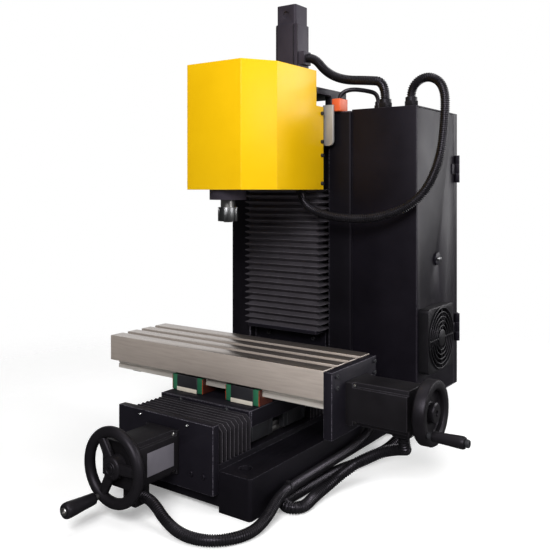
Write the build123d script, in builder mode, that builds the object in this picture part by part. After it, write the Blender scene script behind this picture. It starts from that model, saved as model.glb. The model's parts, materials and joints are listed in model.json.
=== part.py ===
# Benchtop milling machine: a cast base and column, three screw-driven slides with handwheels,
# a covered milling head and a control cabinet on the column's right side.
# Millimetres. X to the operator's right, Y to the back, Z up.
# The origin is the centre of the base's bolt pattern, on the bench.
import os
from math import radians, tan

from build123d import *

os.makedirs("parts", exist_ok=True)

# Allowances
overrun = 2.0
running_fit = 0.05
slide_gap = 0.3
coupling_clearance = 2.0

# Base casting
base_width = 274.0
base_length = 460.0
wing_height = 53.0
bed_width = 170.0
bed_height = 60.5
bed_length = 284.0
foot_width = 51.0
foot_length = 64.0
arch_height = 7.5
base_pocket_height = 32.0
base_corner = 5.0
bolt_side_inset = 29.0
bolt_end_inset = 28.0
bolt_hole = 11.0
bolt_head = 18.0
bolt_head_depth = 10.0
nut_channel_width = 44.0
nut_channel_floor = 42.0
nut_channel_wall = 12.0

# Column casting
column_width = 240.0
column_depth = 125.0
column_top = 540.0
column_wall = 15.0
column_corner = 3.0
recess_width = 158.0
recess_depth = 16.0
screw_channel_width = 52.0
screw_channel_depth = 22.0

# Linear guides, one size on all three axes
rail_width = 15.0
rail_height = 15.0
rail_groove = 2.4
rail_groove_angle = 45.0
guide_height = 28.0
block_width = 34.0
block_lift = 4.3
block_body = 40.0
block_cap = 9.0
cap_step = 1.0
rail_end_inset = 4.0

# Screws, nuts and bearing blocks
screw_dia = 16.0
journal_dia = 12.0
motor_shaft_dia = 8.0
coupling_dia = 18.0
coupling_length = 24.0
nut_width = 36.0
nut_length = 40.0
bearing_width = 50.0
bearing_length = 18.0
bearing_gap = 2.5

# Saddle and the Y axis under it
y_axis_height = 70.0
y_rail_half_spacing = 60.0
saddle_width = 166.0
saddle_length = 150.0
saddle_thickness = 23.0
saddle_setback = 72.0
saddle_corner = 2.0
saddle_plate_thickness = 3.0
saddle_plate_drop = 48.0
y_block_half_spacing = 43.0
y_plate_width = 173.0
y_plate_thickness = 12.0
y_plate_bottom = 24.0
y_plate_top = 113.0
y_bearing_setback = 34.0

# Table and the X axis under it
table_length = 404.0
table_width = 127.0
table_thickness = 39.5
table_shift = -12.0
table_front_overhang = 15.0
table_groove_width = 48.0
table_groove_depth = 8.0
slot_count = 3
slot_spacing = 32.0
slot_mouth = 11.0
slot_mouth_depth = 9.0
slot_width = 19.0
slot_depth = 8.0
x_axis_height = 131.0
x_rail_half_spacing = 42.0
x_block_half_spacing = 52.0
x_plate_thickness = 13.0
x_plate_drop = 49.5
x_plate_top_gap = 1.0
x_plate_rear_inset = 4.0
x_bearing_inset = 37.0

# Square motors of the X and Y axes and of the spindle
motor_size = 57.0
motor_notch = 6.0
motor_flange = 5.0
motor_length = 78.0
x_motor_flange = 11.0
cable_box_length = 24.0
cable_box_width = 22.0
cable_box_height = 8.5
y_cable_box_height = 22.0
cable_box_inset = 6.0

# Handwheels with turning crank grips
y_wheel_rim_radius = 44.0
y_wheel_rim_section = 12.5
y_wheel_rim_sides = 8
y_wheel_hub_dia = 30.0
y_wheel_hub_length = 15.0
y_wheel_spoke_count = 3
y_wheel_spoke_width = 11.0
y_wheel_spoke_thickness = 7.0
y_wheel_gap = 2.0
x_wheel_dia = 84.0
x_wheel_rim_width = 13.0
x_wheel_rim_length = 17.0
x_wheel_web = 4.0
x_wheel_web_inset = 9.0
x_wheel_hub_dia = 26.0
x_wheel_hub_length = 26.0
x_wheel_gap = 2.0
x_crank_radius = 35.5
x_crank_angle = 213.0
y_crank_angle = 242.0
grip_length = 42.0
grip_root_dia = 12.5
grip_end_dia = 15.0
grip_pin_dia = 8.0
grip_head_dia = 10.0
grip_head_length = 4.5
grip_gap = 0.5
grip_standoff = 6.0

# Head plate, cover and spindle
z_axis_setback = 13.5
z_rail_half_spacing = 50.0
head_plate_width = 156.0
head_plate_thickness = 15.0
head_bottom = 415.0
head_plate_height = 130.0
z_block_low = 30.0
z_block_high = 92.0
z_nut_low = 45.0
cover_top = 602.0
cover_width = 160.0
cover_front_width = 102.0
cover_chamfer_reach = 48.0
cover_side_reach = 129.0
cover_notch_height = 132.0
cover_notch_depth = 21.0
cover_sheet = 2.0
cover_back_gap = 4.0
spindle_setback = 34.0
housing_width = 80.0
housing_front_gap = 4.0
housing_lift = 2.0
housing_height = 83.0
nose_dia = 55.0
nose_drop = 15.0
spindle_dia = 22.0
spindle_thread_dia = 20.0
spindle_tail = 26.0
chuck_reach = 11.0
collet_nut_dia = 30.0
collet_nut_height = 21.0
collet_nut_lip = 8.0
collet_nut_slot_count = 6
collet_nut_slot_depth = 2.0
collet_nut_slot_width = 5.0
collet_dia = 13.0
collet_bore = 6.0
collet_length = 29.0
collet_proud = 1.5
striker_width = 19.0
striker_thickness = 4.0
striker_height = 65.0
striker_low = 70.0
striker_corner = 8.0
striker_overlap = 2.0

# Z motor, its bracket and the fixed end of the bellows
bracket_width = 160.0
bracket_reach = 34.0
bracket_depth = 91.0
bracket_plate = 10.0
bracket_gap = 27.0
bracket_wall = 12.0
bracket_wall_depth = 49.0
z_motor_size = 43.0
z_motor_notch = 4.0
z_motor_length = 114.0
encoder_size = 38.0
encoder_length = 32.0
encoder_port = 12.0
encoder_port_depth = 3.0
motor_socket_depth = 12.0
bellows_bracket_width = 136.0
bellows_bracket_sheet = 6.0
bellows_bracket_height = 32.0

# Bellows, folded sheet open towards the guides
bellows_sheet = 1.0
bellows_flange = 2.0
bellows_fold_depth = 10.0
bellows_side_room = 17.5
z_bellows_width = 2 * (z_rail_half_spacing + rail_width / 2 + bellows_side_room)
z_bellows_proud = 20.0
z_bellows_tuck = 12.0
z_bellows_bottom = 189.0
z_bellows_folds = 22
y_bellows_width = 2 * (y_rail_half_spacing + rail_width / 2 + bellows_side_room)
y_bellows_height = 46.5
y_bellows_lift = 0.5
y_front_folds = 8
y_rear_folds = 7

# Control cabinet
cabinet_width = 110.0
cabinet_depth = 164.0
cabinet_front_setback = 4.0
cabinet_bottom = 92.0
cabinet_top = 542.0
cabinet_sheet = 2.0
cabinet_hinge_strip = 17.0
door_gap = 0.8
hinge_height = 45.0
hinge_low = 164.0
hinge_high = 427.0
hinge_dia = 8.0
hinge_pin_dia = 4.0
hinge_leaf = 1.7
hinge_leaf_reach = 16.0
hinge_inset = 10.0
hinge_knuckle_share = 0.32
lock_height = 306.0
lock_setback = 76.0
lock_dia = 16.0
lock_head_dia = 20.0
lock_head_length = 3.0
lock_body_length = 14.0
lock_cam_length = 34.0
lock_cam_width = 12.0
lock_cam_thickness = 3.0
fan_size = 98.0
fan_depth = 18.0
fan_bore = 90.0
fan_corner = 6.0
fan_setback = 57.0
fan_height = 186.0
fan_hub = 34.0
fan_hub_depth = 11.0
fan_blade_count = 7
fan_blade_root = 11.0
fan_blade_thickness = 1.6
fan_blade_pitch = 38.0
fan_tip_gap = 2.0
fan_shaft = 6.0
fan_spider_width = 6.0
fan_spider_depth = 3.0
guard_ring = 2.4
guard_ring_shares = (0.97, 0.64)
guard_hub = 26.0
supply_depth = 130.0
supply_width = 50.0
supply_height = 120.0
supply_low = 18.0
drive_depth = 118.0
drive_width = 46.0
drive_height = 34.0
drive_count = 3
drive_pitch = 68.0
drive_low = 160.0
drive_fins = 4
drive_fin_height = 12.0
drive_fin_width = 4.0

# Glands and conduit sizes
conduit_sides = 8
conduit_arc_share = 0.45
head_conduit_dia = 14.0
z_conduit_dia = 15.0
y_conduit_dia = 14.0
x_conduit_dia = 16.0
sensor_cable_dia = 6.0
gland_nut_sides = 6
gland_nut_wall = 4.0
gland_collar_wall = 2.0
gland_nut_height = 8.0
gland_collar_height = 6.0
head_gland_inset = 20.0
head_gland_reach = 21.0
head_shelf_lift = 9.0
head_shelf_gap = 4.0
top_entry_setback = 15.0
head_entry_inset = 95.0
z_entry_inset = 51.0
sensor_entry_inset = 27.0
sensor_entry_setback = 38.0
y_entry_inset = 30.0
y_entry_setback = 22.0
x_entry_inset = 76.0
x_entry_setback = 38.0
x_loop_reach = 123.0
x_loop_setback = 63.5
x_loop_height = 52.0
sensor_width = 15.0
sensor_depth = 25.0
sensor_height = 20.0
sensor_overhang = 7.5
sensor_side_inset = 22.5

# Bends of each conduit, as steps from its machine end and from its cabinet end
head_first_steps = [(0, 0, -20.7), (24, 4, -33.7), (74, 12, -39.7), (132, 22, -36.7)]
head_last_steps = [(29, -31, -156), (53, -17, -101), (57, -7, -36), (55, -3, 14), (28, -0.5, 32), (0, 0, 18)]
z_motor_first_steps = [(14, 0, 0), (36, 1.5, -27), (68, 2.5, -42)]
z_motor_last_steps = [(-31, -2, 32), (0, 0, 28)]
sensor_first_steps = [(0, 0, 8), (14.5, 7, 16)]
sensor_last_steps = [(-15, -14, 18), (0, 0, 13)]
y_motor_first_steps = [
    (16, 0, 0),
    (48, -7, -18.5),
    (84, -13, -23.2),
    (120, -2, -23.2),
    (142, 34, -23.2),
    (140, 72, -19),
    (132, 110, -6),
    (129, 152, -5),
]
y_motor_last_steps = [(-0.5, -180, -53), (0, -110, -52), (0, -44, -48), (0, -8, -34), (0, 0, -19)]
x_lower_first_steps = [
    (-18, -11.8, -6.75),
    (-32, -41.5, -28),
    (-36, -77.5, -41.5),
    (-53, -86.5, -43.7),
    (-59, -63.5, -43.9),
    (-59, -5.5, -43.9),
]
x_lower_last_steps = [(-46, -136, -69.9), (-30, -72, -69.9), (-10, -24, -58), (0, 0, -32)]
x_upper_first_steps = [(24, 15.75, 9), (52, 18.5, 14)]
x_upper_last_steps = [(0, 0, -19.7)]

# Places that follow from the sizes above
base_front = -base_length / 2
bolt_spacing_x = base_width - 2 * bolt_side_inset
bolt_spacing_y = base_length - 2 * bolt_end_inset
column_front = base_front + bed_length
column_side = column_width / 2
recess_floor = column_front + recess_depth
screw_channel_floor = recess_floor + screw_channel_depth
saddle_bottom = bed_height + guide_height
saddle_top = saddle_bottom + saddle_thickness
saddle_front = base_front + saddle_setback
saddle_back = saddle_front + saddle_length
saddle_middle = saddle_front + saddle_length / 2
y_plate_front = base_front - y_plate_thickness
table_bottom = saddle_top + guide_height
table_top = table_bottom + table_thickness
table_left = table_shift - table_length / 2
table_right = table_shift + table_length / 2
table_front = saddle_front + table_front_overhang
table_middle = table_front + table_width / 2
table_back = table_front + table_width
x_plate_right = table_right + x_plate_thickness
groove_ceiling = table_bottom + table_groove_depth
x_motor_end = x_plate_right + x_motor_flange + motor_length
y_motor_end = y_plate_front - motor_length
head_plate_back = recess_floor - guide_height
head_plate_front = head_plate_back - head_plate_thickness
z_axis_y = column_front + z_axis_setback
cover_back = head_plate_back - cover_back_gap
cover_front = cover_back - cover_side_reach - cover_chamfer_reach
cover_shoulder = cover_back - cover_side_reach
spindle_y = cover_front + spindle_setback
housing_bottom = head_bottom + housing_lift
housing_top = housing_bottom + housing_height
bracket_bottom = column_top + bracket_gap
bracket_top = bracket_bottom + bracket_plate
bracket_front = column_front - bracket_reach
cabinet_left = column_side
cabinet_right = column_side + cabinet_width
cabinet_front = column_front + cabinet_front_setback
cabinet_back = cabinet_front + cabinet_depth
door_front = cabinet_front + cabinet_sheet
door_back = cabinet_back - cabinet_hinge_strip - door_gap
door_inside = cabinet_right - cabinet_sheet
hinge_y = cabinet_back - hinge_inset
hinge_x = cabinet_right + hinge_dia / 2
fan_y = cabinet_front + fan_setback
lock_y = cabinet_front + lock_setback
gland_height = gland_nut_height + gland_collar_height


def along_x(x, y, z):
    """Plane whose normal runs to the right and whose second axis hangs down."""
    return Plane(origin=(x, y, z), x_dir=(0, -1, 0), z_dir=(1, 0, 0))


def along_y(x, y, z):
    """Plane whose normal runs to the back and whose second axis points up."""
    return Plane(origin=(x, y, z), x_dir=(-1, 0, 0), z_dir=(0, 1, 0))


def along_z(x, y, z):
    """Plane whose normal points up and whose second axis runs to the front."""
    return Plane(origin=(x, y, z), x_dir=(-1, 0, 0), z_dir=(0, 0, 1))


def guide_rail(plane, length):
    """A profiled rail that stands on the plane's origin and runs along its normal."""
    with BuildPart() as rail:
        with BuildSketch(plane):
            with Locations((0, rail_height / 2)):
                Rectangle(rail_width, rail_height)
            with Locations((-rail_width / 2, rail_height / 2), (rail_width / 2, rail_height / 2)):
                Rectangle(rail_groove, rail_groove, rotation=rail_groove_angle, mode=Mode.SUBTRACT)
        extrude(amount=length)
    return rail.part


def guide_slice(plane, length, step):
    """A slice of a guide block, straddling its rail; step lowers its top face."""
    with BuildPart() as block:
        with BuildSketch(plane):
            with Locations((0, (block_lift + guide_height - step) / 2)):
                Rectangle(block_width - step, guide_height - block_lift - step)
            with Locations((0, rail_height / 2)):
                Rectangle(rail_width + 2 * slide_gap, rail_height + 2 * slide_gap, mode=Mode.SUBTRACT)
        extrude(amount=length)
    return block.part


def turned_shaft(plane, steps):
    """A shaft of (diameter, length) steps along the plane's normal."""
    with BuildPart() as shaft:
        start = 0
        for diameter, length in steps:
            with BuildSketch(plane.offset(start)):
                Circle(diameter / 2)
            extrude(amount=length)
            start += length
    return shaft.part


def square_motor(plane, size, notch, flange, length, shaft_depth):
    """A square motor: full flange, body with notched corners and a bore for its shaft."""
    with BuildPart() as motor:
        with BuildSketch(plane):
            Rectangle(size, size)
        extrude(amount=flange)
        with BuildSketch(plane.offset(flange)):
            Rectangle(size, size)
            with GridLocations(size, size, 2, 2):
                Rectangle(notch * 2, notch * 2, mode=Mode.SUBTRACT)
        extrude(amount=length)
        with BuildSketch(plane):
            Circle(motor_shaft_dia / 2 + running_fit)
        extrude(amount=shaft_depth, mode=Mode.SUBTRACT)
    return motor.part


def folded_core(plane, width, depth, length, folds, fold_depth, back):
    """A closed block with zigzag front and sides; plane: X across, Y to the front, Z along."""
    front_plane = Plane(origin=plane.origin, x_dir=plane.y_dir, z_dir=plane.x_dir)
    side_plane = Plane(origin=plane.origin, x_dir=plane.x_dir, z_dir=-plane.y_dir)
    steps = range(2 * folds + 1)
    insets = [(step % 2) * fold_depth for step in steps]
    heights = [step * length / (2 * folds) for step in steps]
    front = [(depth - inset, height) for inset, height in zip(insets, heights)]
    right = [(width / 2 - inset, height) for inset, height in zip(insets, heights)]
    left = [(-across, height) for across, height in reversed(right)]
    with BuildPart() as core:
        with BuildSketch(front_plane):
            with BuildLine():
                Polyline(*front, (-back, length), (-back, 0), close=True)
            make_face()
        extrude(amount=width / 2, both=True)
        with BuildSketch(side_plane):
            with BuildLine():
                Polyline(*right, *left, close=True)
            make_face()
        extrude(amount=depth + back + overrun, both=True, mode=Mode.INTERSECT)
    return core.part


def bellows(plane, width, depth, length, folds):
    """A folded cover, open at the back, with a flat flange at each end."""
    outer = folded_core(plane, width, depth, length, folds, bellows_fold_depth, 0)
    inner = folded_core(
        plane,
        width - 2 * bellows_sheet,
        depth - bellows_sheet,
        length,
        folds,
        bellows_fold_depth,
        overrun,
    )
    wall = bellows_fold_depth + bellows_sheet
    with BuildPart() as cover:
        add(outer)
        add(inner, mode=Mode.SUBTRACT)
        for start in (0, length - bellows_flange):
            with BuildSketch(plane.offset(start)):
                with Locations((0, depth / 2)):
                    Rectangle(width, depth)
                with Locations((0, (depth - wall) / 2)):
                    Rectangle(width - 2 * wall, depth - wall, mode=Mode.SUBTRACT)
            extrude(amount=bellows_flange)
    return cover.part


def conduit(name, points, diameter):
    """A plain tube along straight runs joined by arcs as large as the runs allow."""
    corners = [Vector(*point) for point in points]
    radii = []
    for before, corner, after in zip(corners, corners[1:], corners[2:]):
        first = corner - before
        second = after - corner
        turn = radians(first.get_angle(second))
        radii.append(conduit_arc_share * min(first.length, second.length) / tan(turn / 2))
    with BuildPart() as tube:
        with BuildLine() as route:
            FilletPolyline(*points, radius=radii)
        start_plane = Plane(origin=corners[0], z_dir=corners[1] - corners[0])
        with BuildSketch(start_plane):
            RegularPolygon(diameter / 2, conduit_sides)
        sweep(path=route.wires()[0])
    print(name, "length", round(route.wires()[0].length, 1))
    return tube.part


def follow_ends(start, first_steps, last_steps, end):
    """A route whose bends keep their places from the nearer end."""
    first = [tuple(Vector(*start) + Vector(*step)) for step in first_steps]
    last = [tuple(Vector(*end) + Vector(*step)) for step in last_steps]
    return [start, *first, *last, end]


def cable_gland(plane, diameter):
    """A hexagon nut under a round collar, standing along the plane's normal."""
    with BuildPart() as gland:
        with BuildSketch(plane):
            RegularPolygon(diameter / 2 + gland_nut_wall, gland_nut_sides)
        extrude(amount=gland_nut_height)
        with BuildSketch(plane.offset(gland_nut_height)):
            Circle(diameter / 2 + gland_collar_wall)
        extrude(amount=gland_collar_height)
    return gland.part


# Base casting: low wings, a raised bed, four corner feet and a hollow underside
with BuildPart() as base_casting:
    with BuildSketch():
        RectangleRounded(base_width, base_length, base_corner)
    extrude(amount=wing_height)
    with BuildSketch(Plane.XY.offset(wing_height)):
        with Locations((0, base_front + bed_length / 2)):
            Rectangle(bed_width, bed_length)
    extrude(amount=bed_height - wing_height)
    with BuildSketch(Plane.XY.offset(nut_channel_floor)):
        with Locations((0, base_front + bed_length / 2)):
            Rectangle(nut_channel_width, bed_length - 2 * nut_channel_wall)
    extrude(amount=bed_height, mode=Mode.SUBTRACT)
    with BuildSketch():
        Rectangle(base_width - 2 * foot_width, base_length - 2 * nut_channel_wall)
    extrude(amount=base_pocket_height, mode=Mode.SUBTRACT)
    with BuildSketch():
        Rectangle(base_width - 2 * foot_width, base_length + overrun)
        Rectangle(base_width + overrun, base_length - 2 * foot_length)
    extrude(amount=arch_height, mode=Mode.SUBTRACT)
    with Locations((0, 0, wing_height)):
        with GridLocations(bolt_spacing_x, bolt_spacing_y, 2, 2):
            CounterBoreHole(bolt_hole / 2, bolt_head / 2, bolt_head_depth)
base_casting.part.label = "base_casting"
export_step(base_casting.part, "parts/base_casting.step")

# Column casting: hollow from below, with a recess for the guides and a channel for the screw
with BuildPart() as column:
    with BuildSketch(Plane.XY.offset(wing_height)):
        with Locations((0, column_front + column_depth / 2)):
            RectangleRounded(column_width, column_depth, column_corner)
    extrude(amount=column_top - wing_height)
    with BuildSketch(Plane.XY.offset(bed_height + bearing_length)):
        with Locations((0, column_front)):
            Rectangle(recess_width, 2 * recess_depth)
        with Locations((0, recess_floor)):
            Rectangle(screw_channel_width, 2 * screw_channel_depth)
    extrude(amount=column_top, mode=Mode.SUBTRACT)
    with BuildSketch(Plane.XY.offset(wing_height)):
        with Locations((0, (screw_channel_floor + column_front + column_depth) / 2)):
            Rectangle(
                column_width - 2 * column_wall,
                column_front + column_depth - screw_channel_floor - 2 * column_wall,
            )
    extrude(amount=column_top - wing_height - column_wall, mode=Mode.SUBTRACT)
column.part.label = "column"
export_step(column.part, "parts/column.step")

# Rails that are screwed to the bed and to the column
bed_rail_length = bed_length - 2 * rail_end_inset
column_rail_bottom = z_bellows_bottom + rail_end_inset
column_rail_length = column_top - rail_end_inset - column_rail_bottom
with BuildPart() as guide_rails:
    for side in (-1, 1):
        bed_place = along_y(side * y_rail_half_spacing, base_front + rail_end_inset, bed_height)
        add(guide_rail(bed_place, bed_rail_length))
        column_place = along_z(side * z_rail_half_spacing, recess_floor, column_rail_bottom)
        add(guide_rail(column_place, column_rail_length))
guide_rails.part.label = "guide_rails"
export_step(guide_rails.part, "parts/guide_rails.step")

# Bearing blocks for the ends of the Y screw, on the bed, and of the Z screw, in the column
y_bearing_front = base_front + y_bearing_setback
y_bearing_rear = column_front - nut_channel_wall - bearing_length
z_bearing_low = column_rail_bottom
z_bearing_high = column_top - rail_end_inset - bearing_length
z_bearing_front = z_axis_y - journal_dia - rail_end_inset
with BuildPart() as screw_bearings:
    for start in (y_bearing_front, y_bearing_rear):
        with BuildSketch(along_y(0, start, bed_height)):
            with Locations((0, (guide_height - bearing_gap) / 2)):
                Rectangle(bearing_width, guide_height - bearing_gap)
            with Locations((0, y_axis_height - bed_height)):
                Circle(journal_dia / 2 + running_fit, mode=Mode.SUBTRACT)
        extrude(amount=bearing_length)
    for start in (z_bearing_low, z_bearing_high):
        with BuildSketch(Plane.XY.offset(start)):
            with Locations((0, (z_bearing_front + screw_channel_floor) / 2)):
                Rectangle(bearing_width, screw_channel_floor - z_bearing_front)
            with Locations((0, z_axis_y)):
                Circle(journal_dia / 2 + running_fit, mode=Mode.SUBTRACT)
        extrude(amount=bearing_length)
screw_bearings.part.label = "screw_bearings"
export_step(screw_bearings.part, "parts/screw_bearings.step")

# Y motor plate on the front of the base
with BuildPart() as y_motor_plate:
    with BuildSketch(along_y(0, y_plate_front, 0)):
        with Locations((0, (y_plate_bottom + y_plate_top) / 2)):
            Rectangle(y_plate_width, y_plate_top - y_plate_bottom)
        with Locations((0, y_axis_height)):
            Circle(coupling_dia / 2 + coupling_clearance, mode=Mode.SUBTRACT)
    extrude(amount=y_plate_thickness)
y_motor_plate.part.label = "y_motor_plate"
export_step(y_motor_plate.part, "parts/y_motor_plate.step")

# Y motor with a cable box under its rear end
y_motor_plane = Plane(origin=(0, y_plate_front, y_axis_height), x_dir=(1, 0, 0), z_dir=(0, -1, 0))
y_box_middle = y_motor_end + cable_box_inset + cable_box_length / 2
y_outlet_height = y_axis_height - motor_size / 2 - y_cable_box_height / 2
with BuildPart() as y_motor:
    y_body_length = motor_length - motor_flange
    add(square_motor(y_motor_plane, motor_size, motor_notch, motor_flange, y_body_length, motor_length))
    with BuildSketch(Plane.XY.offset(y_axis_height - motor_size / 2)):
        with Locations((cable_box_width / 2, y_box_middle)):
            Rectangle(cable_box_width, cable_box_length)
    extrude(amount=-y_cable_box_height)
y_motor.part.label = "y_motor"
export_step(y_motor.part, "parts/y_motor.step")

# Y screw: one turned shaft from the handwheel through the motor to the rear bearing
y_hub_face = y_motor_end - y_wheel_gap - y_wheel_hub_length
y_coupling_start = base_front + bearing_gap
y_journal_end = y_bearing_front + bearing_length + bearing_gap
with BuildPart() as y_screw:
    add(
        turned_shaft(
            along_y(0, y_hub_face + bearing_gap, y_axis_height),
            [
                (motor_shaft_dia, y_coupling_start - y_hub_face - bearing_gap),
                (coupling_dia, coupling_length),
                (journal_dia, y_journal_end - y_coupling_start - coupling_length),
                (screw_dia, y_bearing_rear - y_bearing_front - bearing_length - 2 * bearing_gap),
                (journal_dia, bearing_length + bearing_gap),
            ],
        )
    )
y_screw.part.label = "y_screw"
export_step(y_screw.part, "parts/y_screw.step")

# Y handwheel: round rim, three spokes, a hub and the pin of the crank grip
y_wheel_plane = Plane(origin=(0, y_hub_face, y_axis_height), x_dir=(1, 0, 0), z_dir=(0, 1, 0))
y_wheel_axis = Axis((0, y_hub_face, y_axis_height), (0, 1, 0))
y_wheel_section = Plane(origin=(0, y_hub_face, y_axis_height), x_dir=(1, 0, 0), z_dir=(0, 0, 1))
y_crank_place = Vector(y_wheel_rim_radius, 0, 0).rotate(Axis.Y, -y_crank_angle)
y_crank_x = y_crank_place.X
y_crank_z = y_axis_height + y_crank_place.Z
y_pin_plane = Plane(origin=(y_crank_x, y_hub_face, y_crank_z), x_dir=(1, 0, 0), z_dir=(0, -1, 0))
pin_reach = grip_standoff + grip_length + 2 * grip_gap
with BuildPart() as y_handwheel:
    with BuildSketch(y_wheel_section):
        with Locations((y_wheel_rim_radius, y_wheel_rim_section / 2)):
            RegularPolygon(
                y_wheel_rim_section / 2,
                y_wheel_rim_sides,
                major_radius=False,
                rotation=180 / y_wheel_rim_sides,
            )
    revolve(axis=y_wheel_axis)
    with BuildSketch(y_wheel_plane):
        Circle(y_wheel_hub_dia / 2)
    extrude(amount=y_wheel_hub_length)
    spoke_start = y_wheel_rim_section / 2 - y_wheel_spoke_thickness / 2
    with BuildSketch(y_wheel_plane.offset(spoke_start)):
        with PolarLocations(y_wheel_rim_radius / 2, y_wheel_spoke_count, start_angle=-y_crank_angle):
            Rectangle(y_wheel_rim_radius, y_wheel_spoke_width)
    extrude(amount=y_wheel_spoke_thickness)
    with BuildSketch(y_pin_plane.offset(-y_wheel_rim_section / 2)):
        Circle(grip_pin_dia / 2)
    extrude(amount=y_wheel_rim_section / 2 + pin_reach)
    with BuildSketch(y_pin_plane.offset(pin_reach)):
        Circle(grip_head_dia / 2)
    extrude(amount=grip_head_length)
    with BuildSketch(y_wheel_plane):
        Circle(motor_shaft_dia / 2)
    extrude(amount=y_wheel_hub_length, mode=Mode.SUBTRACT)
y_handwheel.part.label = "y_handwheel"
export_step(y_handwheel.part, "parts/y_handwheel.step")


def crank_grip(plane, outward, across):
    """A tapered grip bored for its pin, standing outward from the plane's origin."""
    with BuildPart() as grip:
        with BuildSketch(Plane(origin=plane.origin, x_dir=across, z_dir=Vector(*across).cross(outward))):
            with BuildLine():
                Polyline(
                    (grip_pin_dia / 2 + running_fit, 0),
                    (grip_root_dia / 2, 0),
                    (grip_end_dia / 2, grip_length),
                    (grip_pin_dia / 2 + running_fit, grip_length),
                    close=True,
                )
            make_face()
        revolve(axis=Axis(plane.origin, outward))
    return grip.part


with BuildPart() as y_grip:
    add(crank_grip(y_pin_plane.offset(grip_standoff + grip_gap), Vector(0, -1, 0), (1, 0, 0)))
y_grip.part.label = "y_grip"
export_step(y_grip.part, "parts/y_grip.step")

# Saddle: a thick plate between the two crossed pairs of guides
with BuildPart() as saddle:
    with BuildSketch(Plane.XY.offset(saddle_bottom)):
        with Locations((0, saddle_middle)):
            Rectangle(saddle_width, saddle_length)
    extrude(amount=saddle_thickness)
    chamfer(saddle.edges().filter_by(Axis.Z), saddle_corner)
saddle.part.label = "saddle"
export_step(saddle.part, "parts/saddle.step")

# Front plate of the saddle, which carries the moving end of the front bellows
saddle_plate_front = saddle_front - saddle_plate_thickness
with BuildPart() as saddle_front_plate:
    with BuildSketch(along_y(0, saddle_plate_front, saddle_top)):
        with Locations((0, -saddle_plate_drop / 2)):
            Rectangle(saddle_width, saddle_plate_drop)
        with Locations((0, -saddle_plate_drop / 2 - saddle_thickness)):
            Rectangle(saddle_width - 2 * block_lift, saddle_plate_drop, mode=Mode.SUBTRACT)
    extrude(amount=saddle_plate_thickness)
saddle_front_plate.part.label = "saddle_front_plate"
export_step(saddle_front_plate.part, "parts/saddle_front_plate.step")

# Guide blocks of the saddle: four run on the bed's rails, four carry the table's rails
saddle_block_planes = []
for side in (-1, 1):
    for end in (-1, 1):
        y_place = saddle_middle + end * y_block_half_spacing - block_body / 2
        x_place = end * x_block_half_spacing - block_body / 2
        saddle_block_planes.append(along_y(side * y_rail_half_spacing, y_place, bed_height))
        saddle_block_planes.append(along_x(x_place, table_middle + side * x_rail_half_spacing, table_bottom))
with BuildPart() as guide_blocks:
    for place in saddle_block_planes:
        add(guide_slice(place, block_body, 0))
guide_blocks.part.label = "guide_blocks"
export_step(guide_blocks.part, "parts/guide_blocks.step")

# End caps of those blocks
with BuildPart() as guide_caps:
    for place in saddle_block_planes:
        add(guide_slice(place.offset(-block_cap), block_cap, cap_step))
        add(guide_slice(place.offset(block_body), block_cap, cap_step))
guide_caps.part.label = "guide_caps"
export_step(guide_caps.part, "parts/guide_caps.step")

# Screw nuts of the saddle: one hangs into the base's channel, one stands under the table
with BuildPart() as ball_nuts:
    with BuildSketch(along_y(0, saddle_middle - nut_length / 2, y_axis_height)):
        with Locations((0, (saddle_bottom - y_axis_height - nut_width / 2) / 2)):
            Rectangle(nut_width, saddle_bottom - y_axis_height + nut_width / 2)
        Circle(screw_dia / 2 + running_fit, mode=Mode.SUBTRACT)
    extrude(amount=nut_length)
    x_nut_top = groove_ceiling - bearing_gap
    with BuildSketch(along_x(-nut_length / 2, table_middle, x_axis_height)):
        with Locations((0, x_axis_height - (saddle_top + x_nut_top) / 2)):
            Rectangle(nut_width, x_nut_top - saddle_top)
        Circle(screw_dia / 2 + running_fit, mode=Mode.SUBTRACT)
    extrude(amount=nut_length)
ball_nuts.part.label = "ball_nuts"
export_step(ball_nuts.part, "parts/ball_nuts.step")

# Table with three T-slots and a groove underneath for the screw
with BuildPart() as table:
    with BuildSketch(along_x(table_left, table_middle, table_top)):
        with Locations((0, table_thickness / 2)):
            Rectangle(table_width, table_thickness)
        with Locations((0, slot_mouth_depth / 2)):
            with GridLocations(slot_spacing, 0, slot_count, 1):
                Rectangle(slot_mouth, slot_mouth_depth, mode=Mode.SUBTRACT)
        with Locations((0, slot_mouth_depth + slot_depth / 2)):
            with GridLocations(slot_spacing, 0, slot_count, 1):
                Rectangle(slot_width, slot_depth, mode=Mode.SUBTRACT)
        with Locations((0, table_thickness - table_groove_depth / 2)):
            Rectangle(table_groove_width, table_groove_depth, mode=Mode.SUBTRACT)
    extrude(amount=table_length)
table.part.label = "table"
export_step(table.part, "parts/table.step")

# Rails under the table
with BuildPart() as x_rails:
    for side in (-1, 1):
        place = along_x(table_left + rail_end_inset, table_middle + side * x_rail_half_spacing, table_bottom)
        add(guide_rail(place, table_length - 2 * rail_end_inset))
x_rails.part.label = "x_rails"
export_step(x_rails.part, "parts/x_rails.step")

# Bearing blocks that hang in the table's groove
x_bearing_left = table_left + rail_end_inset * 2
x_bearing_right = table_right - x_bearing_inset - bearing_length
with BuildPart() as x_bearings:
    for start in (x_bearing_left, x_bearing_right):
        with BuildSketch(along_x(start, table_middle, x_axis_height)):
            bearing_middle = (groove_ceiling + saddle_top + bearing_gap) / 2
            with Locations((0, x_axis_height - bearing_middle)):
                Rectangle(nut_channel_width, groove_ceiling - saddle_top - bearing_gap)
            Circle(journal_dia / 2 + running_fit, mode=Mode.SUBTRACT)
        extrude(amount=bearing_length)
x_bearings.part.label = "x_bearings"
export_step(x_bearings.part, "parts/x_bearings.step")

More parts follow.
